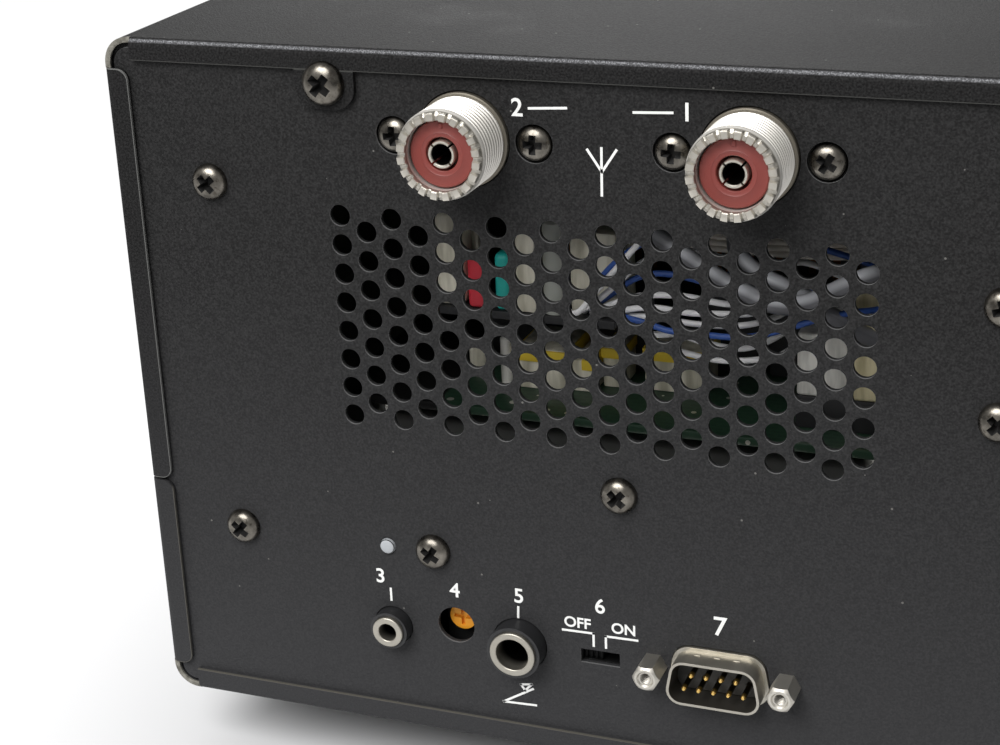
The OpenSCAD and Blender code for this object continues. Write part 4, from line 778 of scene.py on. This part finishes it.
shell = [(5.72, -15.2), (6.5, -15.2), (6.5, -3.2), (8.4, -3.2), (8.4, 0.55), (8.2, 0.75), (7.6, 0.80)]
shell += threaded(0.85, 9.25, 7.95, 7.35, 8)
shell += [(7.8, 9.3), (7.95, 9.45), (7.95, 9.7), (7.66, 10.15), (7.6, 10.3), (7.66, 10.5), (7.66, 11.1),
          (7.56, 11.33), (7.4, 11.4), (6.8, 11.4), (6.3, 11.4), (6.15, 11.25), (6.15, 10.6),
          (6.15, 4.7), (5.72, 4.5)]
tool = bmesh.new()
for x in socket_xs:
    for v in turned(tool, shell, (x, rear, socket_z), "rear", 8 * notches, True):
        across = math.hypot(v.co.x - x, v.co.z - socket_z)
        if v.co.y > notch_foot:
            turn = math.atan2(v.co.z - socket_z, v.co.x - x)
            dip = min(1.0, max(0.0, -0.8 + 2.4 * math.cos(notches * turn)))
            dip *= min(1.0, (v.co.y - notch_foot) / 0.7)
            v.co.y -= notch_deep * dip
            if across > 7.0:
                v.co.x -= notch_in * dip * math.cos(turn)
                v.co.z -= notch_in * dip * math.sin(turn)
place(tool, "antenna_shells_threaded", shell_nickel, stands_for=("antenna_shells",))

flange_half = 17.0
flange_rise = 9.5
tool = bmesh.new()
for x in socket_xs:
    slab(tool, (x - flange_half, 150.8, socket_z - flange_rise),
         (x + flange_half, 152.75, socket_z + flange_rise), 0.3)
place(tool, "antenna_flanges", flange_black)

face = [(2.66, -15.2), (5.65, -15.2), (5.65, 4.8), (5.85, 5.0), (5.85, 9.15), (5.6, 9.4), (3.9, 9.4),
        (3.78, 9.47), (3.66, 9.4), (3.1, 9.4), (2.95, 9.25), (2.95, 6.4), (2.66, 6.2)]
tool = bmesh.new()
for x in socket_xs:
    turned(tool, face, (x, rear, socket_z), "rear", 72, True)
    slab(tool, (x - 0.35, rear + 9.2, socket_z + 4.5), (x + 0.35, rear + 9.62, socket_z + 5.4), 0.12)
place(tool, "antenna_insulators_moulded", brown_moulding,
      stands_for=("antenna_insulators",))

leaf = [(1.87, -6.2), (2.45, -6.2), (2.45, 9.6), (2.3, 9.8), (2.0, 9.8), (1.87, 9.65)]
stem = [(0.0, -20.2), (2.6, -20.2), (2.6, -6.2), (0.0, -6.2)]
tool = bmesh.new()
for x in socket_xs:
    for spin in (50.0, 140.0, 230.0, 320.0):
        turned(tool, leaf, (x, rear, socket_z), "rear", 14, True, angle=80.0, spin=spin)
    turned(tool, stem, (x, rear, socket_z), "rear", 32)
place(tool, "antenna_contacts_slit", contact_metal, stands_for=("antenna_contacts",))


# Screws: cross-head pan screws with a dark nickel finish, which hold the rear panel, the covers,
# the fan and the antenna sockets. The two on the cover tabs are larger.
def screw_plate(s):
    wear = s.noise(420.0, 4.0)
    grime_and_shade = s.noise(1300.0, 2.0)
    base = wear.band(0.30, 0.70).blend((0.072, 0.066, 0.057), (0.250, 0.230, 0.198))
    return {
        "Base Color": (grime_and_shade.band(0.58, 0.70) * 0.6).blend(base, (0.06, 0.05, 0.04)),
        "Roughness": 0.17 + 0.24 * wear,
        "Normal": s.bump(wear, 0.5, 0.00012),
    }


def uneven(dark, light, rough, spread, scale, detail, relief=None):
    """A recipe: one noise runs from dark to light, adds spread to rough, and may raise the surface."""
    def recipe(s):
        patch = s.noise(scale, detail)
        made = {"Base Color": patch.blend(dark, light), "Roughness": rough + spread * patch}
        if relief:
            made["Normal"] = s.bump(patch, *relief)
        return made
    return recipe


DOME = ((0.0, 1.0), (0.26, 0.985), (0.52, 0.925), (0.74, 0.80), (0.90, 0.58), (0.98, 0.32), (1.0, 0.12))


def carved(body, cutter, operation):
    """Mesh of one shape after a boolean with another. Both shapes are used up."""
    holders = []
    for name, shape in (("body", body), ("cutter", cutter)):
        mesh = bpy.data.meshes.new(name)
        shape.to_mesh(mesh)
        shape.free()
        holders.append(bpy.data.objects.new(name, mesh))
        scene.collection.objects.link(holders[-1])
    cut = holders[0].modifiers.new("cut", "BOOLEAN")
    cut.operation = operation
    cut.solver = "EXACT"
    cut.use_self = True
    cut.object = holders[1]
    ready = holders[0].evaluated_get(bpy.context.evaluated_depsgraph_get())
    result = bpy.data.meshes.new_from_object(ready)
    for holder in holders:
        mesh = holder.data
        bpy.data.objects.remove(holder)
        bpy.data.meshes.remove(mesh)
    return result


def cross_head(radius, height, shank):
    """Mesh of a domed screw head with its tapered cross, facing up, with its seat at 0."""
    body = bmesh.new()
    side = [(r * radius, h * height) for r, h in DOME]
    side += [(radius, 0.0), (shank, 0.0), (shank, -6.0), (0.0, -6.0)]
    turned(body, side, (0.0, 0.0, 0.0), "up", 48)
    cutter = bmesh.new()
    for turn in (0.0, 90.0):
        made = bmesh.ops.create_cube(cutter, size=1.0)["verts"]
        for v in made:
            top = v.co.z > 0.0
            v.co.x *= radius * (1.14 if top else 0.66)
            v.co.y *= radius * (0.40 if top else 0.26)
            v.co.z = height * (1.05 if top else -0.15)
        bmesh.ops.rotate(cutter, verts=made, matrix=Matrix.Rotation(math.radians(turn), 3, "Z"))
    head = carved(body, cutter, "DIFFERENCE")
    for face in head.polygons:
        middle = face.center
        inside = math.hypot(middle.x, middle.y) < 0.6 * radius and -0.5 < middle.z < 0.8 * height
        face.material_index = 1 if inside else 0
    return head


def set_screw(tool, head, at, facing, turn):
    """One screw of that head, turned as it was driven."""
    before = set(tool.verts)
    tool.from_mesh(head)
    spot = Matrix.Translation(at) @ FACING[facing] @ Matrix.Rotation(math.radians(turn), 4, "Z")
    bmesh.ops.transform(tool, matrix=spot, verts=[v for v in tool.verts if v not in before])


screw_metal = finish("screw_metal", screw_plate, Metallic=1.0)
shank_r = 1.5
panel_head = cross_head(3.45, 2.2, shank_r)
tab_head = cross_head(3.95, 2.3, shank_r)
socket_head = cross_head(3.2, 2.2, shank_r)
flank_head = cross_head(3.5, 1.8, shank_r)
fan_z = 110.75
fan_side = 25.0
flange_y = 152.8
flange_screw = 13.0
tab_z = 142.7
flank_x = 205.0
draw = random.Random(11)
tool = bmesh.new()
panel_spots = [(s * 185.5, z) for s in (1, -1) for z in (122.9, 53.0)]
panel_spots += [(108.2, 69.7), (-108.2, 69.7), (42.5, 111.7), (42.5, 91.7), (145.3, 53.1)]
panel_spots += [(fan_side * a, fan_z + fan_side * b) for a in (1, -1) for b in (1, -1)]
for x, z in panel_spots:
    set_screw(tool, panel_head, (x, rear, z), "rear", draw.uniform(0.0, 90.0))
for x in (160.5, -160.5):
    set_screw(tool, tab_head, (x, rear + 1.0, tab_z), "rear", draw.uniform(10.0, 60.0))
for x in socket_xs:
    for side in (flange_screw, -flange_screw):
        set_screw(tool, socket_head, (x + side, flange_y, socket_z), "rear", draw.uniform(0.0, 90.0))
for way, facing in ((1, "right"), (-1, "left")):
    for y in (-82.0, 109.0):
        for z in (83.5, 41.5):
            set_screw(tool, flank_head, (way * flank_x, y, z), facing, draw.uniform(0.0, 90.0))
screws = place(tool, "case_screws", screw_metal, stands_for=("screws",), sharp=32.0)
# The faces inside each cross recess take a near-black finish: painted shade.
recess_shade_paint = uneven((0.004, 0.004, 0.004), (0.012, 0.011, 0.010), 0.7, 0.2, 900.0, 2.0)
screws.data.materials.append(finish("recess_painted_shade", recess_shade_paint))
for head in (panel_head, tab_head, socket_head, flank_head):
    bpy.data.meshes.remove(head)


# Jack row: two moulded jacks with plated sleeves, a trimmer behind a round hole, a slide switch in
# its slot, and the white pin that locates their board. All sit on a small board behind the panel.
def jack_mask(s):
    """Green board with a black bracket and black switch bodies above it."""
    made = solder_mask(s)
    bracket = s.axes()[2] > 0.0283
    made["Base Color"] = bracket.blend(made["Base Color"], (0.007, 0.007, 0.007))
    made["Metallic"] = made["Metallic"] * (1.0 - bracket)
    return made


def sleeve_nickel(s):
    """Dull nickel plate, with painted shade down the two bores of the rear."""
    made = drawn_metal((0.34, 0.32, 0.27), (0.54, 0.51, 0.45), 0.34)(s)
    y = s.axes()[1]
    # Painted shade, deepening down each bore.
    painted_sleeve_shade = (1.0 - y.band(0.1545, 0.1568)) * (y > 0.0)
    made["Base Color"] = painted_sleeve_shade.blend(made["Base Color"], (0.020, 0.019, 0.017))
    return made


orange_moulding = finish("orange_moulding", moulded((0.72, 0.26, 0.012), (0.82, 0.36, 0.025), 900.0))
pin_white = finish("pin_white", moulded((0.28, 0.295, 0.31), (0.38, 0.395, 0.41), 900.0))
dress("signal_jacks", black_moulding, edge=0.35, segments=3)
dress("jack_sleeves", finish("sleeve_nickel", sleeve_nickel, Metallic=1.0), edge=0.25, segments=3)
dress("jack_board", finish("jack_board_green", jack_mask), edge=0.1)
dress("trimmer_rotor", orange_moulding, edge=0.15)
dark_button = moulded((0.004, 0.004, 0.004), (0.007, 0.007, 0.007))
dress("backup_slider", finish("slider_black", dark_button, Specular_IOR_Level=0.1), edge=0.15)
tool = bmesh.new()
tip = [(0.0, 0.62), (0.7, 0.60), (1.2, 0.50), (1.5, 0.30), (1.56, 0.0), (1.56, -1.1), (0.0, -1.1)]
pin_x = 154.8
pin_z = 52.8
turned(tool, tip, (pin_x, rear, pin_z), "rear", 32)
place(tool, "locating_pin", pin_white)


# Data port: a nine-pin shell of drawn, tin plated steel with three contact dimples pressed in its
# upper side, a black insert with gold pins, and two threaded hexagon posts that hold it to the panel.
port_x = 89.7
port_z = 35.8
post_apart = 12.495
post_r = 2.656
post_high = 5.6


def dull_tin(s):
    """Dull tin plate, with painted shade inside the shell."""
    patch = s.noise(260.0, 4.0)
    fine = s.noise(2000.0, 2.0)
    x, _, z = s.axes()
    way_x, _, way_z = s.axes(s.node("NewGeometry", out=3))
    # Painted shade on the inner faces of the shell.
    painted_shell_shade = (x - port_x * MM) * way_x + (z - port_z * MM) * way_z < -0.001
    outside = patch.blend((0.34, 0.32, 0.27), (0.54, 0.51, 0.45))
    return {
        "Base Color": painted_shell_shade.blend(outside, (0.16, 0.148, 0.128)),
        "Roughness": 0.34 + 0.16 * patch,
        "Normal": s.bump(fine, 0.10, 0.00005),
    }


def gilded(s):
    """Gold tips on pins that are darker towards their base."""
    made = drawn_metal((0.72, 0.45, 0.12), (0.88, 0.62, 0.22), 0.2)(s)
    made["Base Color"] = s.axes()[1].band(0.1570, 0.1578).blend((0.05, 0.035, 0.015), made["Base Color"])
    return made


def post_plate(s):
    """Nickel plate with painted shade in the grooves down the bores of the two posts."""
    made = drawn_metal((0.50, 0.475, 0.42), (0.70, 0.67, 0.61), 0.34)(s)
    radius = from_axes(s, port_x, post_apart, port_z)
    # Painted shade in the thread grooves of each bore.
    painted_groove_shade = radius.band(0.00112, 0.00128) * (radius < 0.00145) * (s.axes()[1] < 0.1591)
    made["Base Color"] = painted_groove_shade.blend(made["Base Color"], (0.05, 0.045, 0.038))
    return made


dull_plate = finish("dull_plate", dull_tin, Metallic=0.95)
gold_flash = finish("gold_flash", gilded, Metallic=1.0)
dress("data_port_shell", dull_plate, edge=0.2, segments=3)
insert_black = finish("insert_black", moulded((0.022, 0.021, 0.019), (0.034, 0.032, 0.029)))
dress("data_port_insert", insert_black, edge=0.1)
dress("data_port_pins", gold_flash, edge=0.3, segments=3)
hexagon = bmesh.new()
bmesh.ops.create_cone(hexagon, cap_ends=True, segments=6, radius1=post_r, radius2=post_r, depth=post_high)
upright = Matrix.Translation((0.0, 0.0, post_high / 2.0)) @ Matrix.Rotation(math.radians(30.0), 4, "Z")
bmesh.ops.transform(hexagon, matrix=upright, verts=hexagon.verts)
bounds = bmesh.new()
chamfer = [(0.0, -1.0), (3.2, -1.0), (3.2, 4.6), (2.66, 4.95), (2.2, 5.45), (2.0, 5.6), (0.0, 5.6)]
turned(bounds, chamfer, (0.0, 0.0, 0.0), "up", 48)
blank = carved(hexagon, bounds, "INTERSECT")
chamfered = bmesh.new()
chamfered.from_mesh(blank)
bpy.data.meshes.remove(blank)
bore = bmesh.new()
drill = [(0.0, 6.2), (1.6, 6.2), (1.6, 5.58), (1.34, 5.25)]
drill += threaded(1.2, 5.2, 1.34, 1.08, 8)[::-1] + [(0.0, 1.0)]
turned(bore, drill, (0.0, 0.0, 0.0), "up", 32)
post = carved(chamfered, bore, "DIFFERENCE")
shank = [(0.0, -6.2), (1.4, -6.2), (1.4, 0.2), (0.0, 0.2)]
tool = bmesh.new()
for x in (port_x - post_apart, port_x + post_apart):
    turned(tool, shank, (x, rear, port_z), "rear", 24)
    set_screw(tool, post, (x, rear, port_z), "rear", 0.0)
post_metal = finish("post_plate", post_plate, Metallic=1.0)
place(tool, "jackscrew_posts", post_metal, stands_for=("jackscrews",), sharp=28.0)
bpy.data.meshes.remove(post)
tool = bmesh.new()
for x in (93.4, port_x, 86.0):
    slab(tool, (x - 0.62, rear + 1.2, 40.05), (x + 0.62, rear + 1.8, 40.38), 0.12)
place(tool, "shell_dimples", nickel)


# Rear legends: thin white screen print on the paint. Plain numbers stand beside the sockets, with
# the lines, ticks and brackets that point at them, an aerial sign, and the two ends of the switch.
REAR_TEXT = Matrix.Rotation(math.pi, 4, "Z") @ Matrix.Rotation(math.pi / 2.0, 4, "X")
FRONT_TEXT = Matrix.Rotation(math.pi / 2.0, 4, "X")


def lettering(tool, words, size, at, turn, weight):
    """Flat words about a middle point."""
    type_face = bpy.data.curves.new("lettering", "FONT")
    type_face.body = words
    type_face.size = size
    type_face.align_x = "CENTER"
    type_face.align_y = "CENTER"
    type_face.extrude = 0.015
    type_face.offset = weight
    bmesh.ops.transform(tool, matrix=Matrix.Translation(at) @ turn, verts=add_curve(tool, type_face))


def ink_line(tool, start, end, width, y):
    """A printed line between two (x, z) points on a face at y."""
    start = Vector((start[0], y, start[1]))
    end = Vector((end[0], y, end[1]))
    made = bmesh.ops.create_cube(tool, size=1.0)["verts"]
    bmesh.ops.scale(tool, vec=((end - start).length + width, 0.03, width), verts=made)
    tilt = math.atan2(end.z - start.z, end.x - start.x)
    spot = Matrix.Translation((start + end) / 2.0) @ Matrix.Rotation(-tilt, 4, "Y")
    bmesh.ops.transform(tool, matrix=spot, verts=made)


screen_ink = uneven((0.66, 0.66, 0.64), (0.82, 0.82, 0.80), 0.5, 0.2, 700.0, 3.0)
white_ink = finish("white_ink", screen_ink)
ink_lift = 0.015
rear_bold = 0.065
rear_stroke = 0.44
# word, size, x, z
WORDS = (
    ("2", 4.4, 125.0, 139.9), ("1", 4.4, 95.2, 140.7), ("3", 4.2, 156.8, 46.0), ("4", 4.2, 141.4, 45.2),
    ("5", 4.2, 128.4, 46.0), ("6", 4.2, 112.4, 46.3), ("7", 5.4, 89.6, 45.7),
    ("OFF", 3.0, 116.9, 42.2), ("ON", 3.0, 107.9, 42.2),
)
# two ends (x, z) of each line
STROKES = (
    ((122.8, 140.0), (116.2, 140.4)), ((104.3, 140.3), (97.7, 140.6)), ((110.1, 133.8), (110.2, 125.6)),
    ((110.1, 129.7), (112.6, 133.4)), ((110.1, 129.7), (107.5, 133.6)), ((154.8, 43.6), (154.8, 41.2)),
    ((128.6, 43.7), (128.7, 41.6)), ((119.8, 40.4), (113.8, 40.5)), ((113.8, 40.5), (113.8, 37.9)),
    ((105.3, 40.4), (111.4, 40.3)), ((111.4, 40.3), (111.4, 37.9)), ((132.4, 22.6), (125.8, 22.9)),
    ((132.4, 22.6), (126.3, 26.4)), ((128.7, 27.0), (126.5, 27.4)), ((126.5, 27.4), (127.9, 25.8)),
    ((127.9, 25.8), (128.7, 27.0)),
)
tool = bmesh.new()
for words, size, x, z in WORDS:
    lettering(tool, words, size, (x, rear + 0.02, z), REAR_TEXT, rear_bold)
for start, end in STROKES:
    ink_line(tool, start, end, rear_stroke, rear + ink_lift)
place(tool, "rear_legends", white_ink, sharp=30.0)


# Other rear sockets, out of the photograph: a power inlet, a ground post and four phono sockets.
# They pass through the rear panel and are held by nuts behind it.
brass = finish("brass", drawn_metal((0.52, 0.40, 0.19), (0.70, 0.57, 0.30), 0.25), Metallic=1.0)
dress("power_socket", black_moulding, edge=0.3, segments=3)
dress("line_sockets", nickel, edge=0.25, segments=3)
washer = [(1.62, 8.9), (1.62, 9.12), (3.3, 9.12), (3.5, 9.0), (3.5, 8.9)]
tool = bmesh.new()
for x in (-79.0, -59.0):
    for z in (38.0, 58.0):
        turned(tool, washer, (x, rear, z), "rear", 40, True)
place(tool, "phono_insulators", brown_moulding)
ground_x = -103.0
ground_z = 36.0
nut_r = 4.5
nut_high = 3.0
tool = bmesh.new()
stud = [(0.0, -9.2), (1.5, -9.2), (1.5, 0.0), (1.9, 0.0), (1.9, 3.2)]
stud += threaded(3.3, 15.5, 2.0, 1.72, 17) + [(1.7, 15.6), (1.35, 16.0), (0.0, 16.0)]
turned(tool, stud, (ground_x, rear, ground_z), "rear", 48)
before = set(tool.verts)
bmesh.ops.create_cone(tool, cap_ends=True, segments=6, radius1=nut_r, radius2=nut_r, depth=nut_high)
nut_edges = [e for e in tool.edges if e.verts[0] not in before]
bmesh.ops.bevel(tool, geom=nut_edges, offset=0.35, offset_type="OFFSET", segments=2, profile=0.5,
                affect="EDGES", material=-1)
nut = [v for v in tool.verts if v not in before]
seat = Matrix.Translation((ground_x, rear + nut_high / 2.0, ground_z)) @ FACING["rear"]
bmesh.ops.transform(tool, matrix=seat, verts=nut)
place(tool, "ground_stud", brass, stands_for=("ground_post",))


# Cooling: an extruded aluminium heat sink on the deck and a moulded fan between it and the panel.
# The other boards are green like the tuner, and the bodies of the controls are plated.
def extruded(s):
    lines = s.noise(300.0, 2.0, s.stretched(1.0, 0.03, 1.0))
    return {
        "Base Color": lines.blend((0.58, 0.58, 0.58), (0.72, 0.72, 0.72)),
        "Roughness": 0.30 + 0.15 * lines,
        "Normal": s.bump(lines, 0.12, 0.0001),
    }


sink_metal = finish("sink_metal", extruded, Metallic=0.95)
dress("heat_sink", sink_metal, edge=0.2)
dress("fan_frame", black_moulding, edge=0.3)
dress("fan_rotor", black_moulding, edge=0.2)
for node in ("amplifier_board", "main_board", "control_board"):
    dress(node, green_board, edge=0.1)
dress("control_pots", plated_sheet, edge=0.2)


# Loudspeaker: a pressed black frame with a paper cone, under the slots of the top cover. Its rim is
# fixed to the underside of the cover.
pressed_frame = uneven((0.025, 0.025, 0.026), (0.060, 0.058, 0.055), 0.55, 0.25, 420.0, 4.0, (0.2, 0.00015))
dress("speaker", finish("speaker_paper", pressed_frame), edge=0.2)


# Front panel: one black moulding with a fine spark texture, screwed to the front plate. Its window
# is a clear smoked plate over a liquid crystal display.
def sparked(s):
    pits = s.noise(2200.0, 2.0)
    wide = s.noise(20.0, 2.0)
    return {
        "Base Color": wide.blend((0.016, 0.016, 0.017), (0.023, 0.023, 0.024)),
        "Roughness": 0.45 + 0.15 * wide,
        "Normal": s.bump(pits, 0.4, 0.00012),
    }


def display_glass(s):
    rows = s.noise(900.0, 1.0)
    wide = s.noise(12.0, 2.0)
    return {"Base Color": wide.blend((0.26, 0.30, 0.23), (0.34, 0.38, 0.29)), "Roughness": 0.25 + 0.1 * rows}


front = -146.0
front_plastic = finish("front_plastic", sparked, Specular_IOR_Level=0.4)
dress("front_panel", front_plastic, edge=0.6, segments=3)
dress("display_module", finish("display_glass", display_glass), edge=0.2)
smoked_plate = uneven((0.008, 0.009, 0.010), (0.014, 0.015, 0.016), 0.04, 0.06, 60.0, 3.0)
dress("display_window", finish("smoked_plate", smoked_plate, Alpha=0.28), edge=0.25)

screen_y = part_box("display_module")[0][1] / MM - 0.04
crystal = finish("crystal", moulded((0.012, 0.014, 0.012), (0.022, 0.025, 0.021)))
SEGMENTS = {"a": ((0.0, 2.0), (1.0, 2.0)), "b": ((1.0, 2.0), (1.0, 1.0)), "c": ((1.0, 1.0), (1.0, 0.0)),
            "d": ((0.0, 0.0), (1.0, 0.0)), "e": ((0.0, 1.0), (0.0, 0.0)), "f": ((0.0, 2.0), (0.0, 1.0)),
            "g": ((0.0, 1.0), (1.0, 1.0))}
DIGITS = {"0": "abcdef", "1": "bc", "2": "abged", "3": "abgcd", "4": "fgbc", "5": "afgcd"}
digit_x = -42.0
digit_z = 111.5
digit_wide = 7.0
digit_high = 7.5
digit_pitch = 12.5
group_gap = 5.0
scale_x = -98.0
scale_z = 108.5
scale_pitch = 2.1
tool = bmesh.new()
for i, digit in enumerate("1423500"):
    x = digit_x + digit_pitch * i + group_gap * ((i > 1) + (i > 4))
    for name in DIGITS[digit]:
        start, end = [Vector((x + digit_wide * a, digit_z + digit_high * b)) for a, b in SEGMENTS[name]]
        ink_line(tool, start.lerp(end, 0.08), start.lerp(end, 0.92), 1.0, screen_y)
for i in range(22):
    x = scale_x + scale_pitch * i
    tall = 4.0 if i % 5 == 0 else 2.6
    ink_line(tool, (x, scale_z), (x, scale_z + tall), 0.8, screen_y)
for x in (-17.3, 35.5):
    ink_line(tool, (x, digit_z), (x, digit_z + 0.1), 1.2, screen_y)
place(tool, "display_digits", crystal)


# Dials: turned black bodies with a ribbed rubber grip pushed over the rim; the main one has a
# finger dish in its face. Each turns on the shaft of an encoder.
def ribbed(tool, x, z, radius, low, high, ribs, depth):
    """A grip ring between two lengths out of the front panel, with ribs along it."""
    profile = [(radius - 0.4, low), (radius + depth * 0.3, low), (radius + depth, low + 0.5),
               (radius + depth, high - 0.5), (radius + depth * 0.3, high), (radius - 0.4, high)]
    for v in turned(tool, profile, (x, front, z), "front", ribs * 4, True):
        turn = math.atan2(v.co.z - z, v.co.x - x)
        away = math.hypot(v.co.z - z, v.co.x - x)
        if away > radius + depth * 0.5:
            dip = depth * 0.8 * max(0.0, math.cos(ribs * turn))
            v.co.x -= dip * math.cos(turn)
            v.co.z -= dip * math.sin(turn)


knob_black = finish("knob_black", moulded((0.012, 0.012, 0.013), (0.019, 0.019, 0.020), 1200.0))
grip_rubber = uneven((0.010, 0.010, 0.011), (0.026, 0.026, 0.026), 0.62, 0.2, 1400.0, 3.0, (0.15, 0.00008))
rubber = finish("rubber", grip_rubber)
# node, x and z of the axis, radius of the grip, its two ends, number and depth of ribs
DIALS = (
    ("main_dial", 15.0, 60.0, 32.0, 4.0, 20.0, 90, 0.8),
    ("sub_dial", 122.0, 66.0, 19.0, 3.5, 15.5, 60, 0.7),
)
for node, x, z, radius, low, high, ribs, depth in DIALS:
    dress(node, knob_black, edge=0.4, segments=3)
    tool = bmesh.new()
    ribbed(tool, x, z, radius, low, high, ribs, depth)
    place(tool, node + "_grip", rubber, node, sharp=30.0)


# Knobs: moulded, with a fluted side and a white line in the pointer groove. The double controls
# have a ring on an outer tube under the knob.
# node, x and z of the axis, radius
KNOBS = (("left_knob", -112.0, 52.0, 7.0), ("right_knob", -62.0, 52.0, 7.0),
         ("upper_knob", 178.0, 84.0, 8.0), ("lower_knob", 178.0, 46.0, 8.0),
         ("left_ring", -112.0, 52.0, 11.0), ("right_ring", -62.0, 52.0, 11.0))
pointer_half = 0.42
flute_deep = 0.45
for node, x, z, radius in KNOBS:
    dress(node, knob_black, edge=0.3, segments=3)
    is_ring = "ring" in node
    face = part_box(node)[0][1] / MM
    tool = bmesh.new()
    inner = radius * (0.72 if is_ring else 0.2)
    slab(tool, (x - pointer_half, face + 0.02, z + inner),
         (x + pointer_half, face + 0.4, z + radius - 0.6), 0.1)
    place(tool, node + "_pointer", white_ink, node)
    tool = bmesh.new()
    reach = front - face
    low = reach - (4.5 if is_ring else 9.0)
    slack = 0.25 if node in ("left_knob", "right_knob") else 0.0
    ribbed(tool, x, z, radius - slack, low, reach - 1.8, 36 if is_ring else 24, flute_deep)
    place(tool, node + "_grip", rubber, node, sharp=30.0)


# Keys: grey mouldings in holes of the front panel, each with its number printed on the cap. Each
# presses on a switch of the control board and is sprung by it.
key_plastic = finish("key_plastic", moulded((0.060, 0.060, 0.064), (0.085, 0.085, 0.089), 1500.0))
key_names = ["number_key_%d" % n for n in range(10)]
key_names += ["mode_key_%d" % n for n in range(1, 6)] + ["power_key"]
number_size = 5.2
mode_size = 4.0
key_bold = 0.04
for node in key_names:
    dress(node, key_plastic, edge=0.45, segments=3)
    low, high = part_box(node)
    x, z = [(low[i] + high[i]) / 2.0 / MM for i in (0, 2)]
    y = low[1] / MM - ink_lift
    tool = bmesh.new()
    if node == "power_key":
        ink_line(tool, (x, z - 1.8), (x, z + 1.8), 0.5, y)
    else:
        size = number_size if "number" in node else mode_size
        lettering(tool, node[-1], size, (x, y, z), FRONT_TEXT, key_bold)
    place(tool, node + "_print", white_ink, node, sharp=30.0)


# Front legends: white screen print on the moulding, with scale marks round the knobs and plain
# numbers at the ends of the scales.
scale_y = front - ink_lift
scale_start = 240.0
scale_step = 30.0
long_mark = 1.8
short_mark = 1.1
tool = bmesh.new()
# x and z of the axis, inner radius
SCALES = ((-112.0, 52.0, 13.0), (-62.0, 52.0, 13.0), (178.0, 84.0, 10.2), (178.0, 46.0, 10.2))
for x, z, radius in SCALES:
    for i in range(11):
        turn = math.radians(scale_start - scale_step * i)
        tip = radius + (long_mark if i % 5 == 0 else short_mark)
        ends = [(x + away * math.cos(turn), z + away * math.sin(turn)) for away in (radius, tip)]
        ink_line(tool, *ends, 0.3, scale_y)
    for words, mark in (("0", 0), ("10", 10)):
        turn = math.radians(scale_start - scale_step * mark)
        away = radius + 4.2
        at = (x + away * math.cos(turn), scale_y, z + away * math.sin(turn))
        lettering(tool, words, 2.8, at, FRONT_TEXT, 0.02)
place(tool, "front_legends", white_ink, sharp=30.0)


# Microphone socket: a plated, threaded collar with eight pins in its cup, held by a nut behind the
# front panel. The headphone jack beside it is dressed with the jack row.
dress("microphone_socket", nickel, edge=0.3, segments=3)
tool = bmesh.new()
collar = [(9.4, -0.2)] + threaded(0.1, 5.6, 9.95, 9.55, 7) + [(9.4, 5.8)]
microphone_x = -152.0
microphone_z = 38.0
turned(tool, collar, (microphone_x, front, microphone_z), "front", 72, True)
place(tool, "microphone_thread", nickel)


# Feet and stand: four moulded rubber feet fixed under the bottom cover, and a bent steel wire that
# hinges in the two front ones.
dress("feet", rubber, edge=0.6, segments=3)
stand_steel = uneven((0.22, 0.22, 0.22), (0.34, 0.34, 0.34), 0.28, 0.2, 180.0, 4.0)
dress("tilt_stand", finish("stand_steel", stand_steel, Metallic=0.9), edge=0.3)
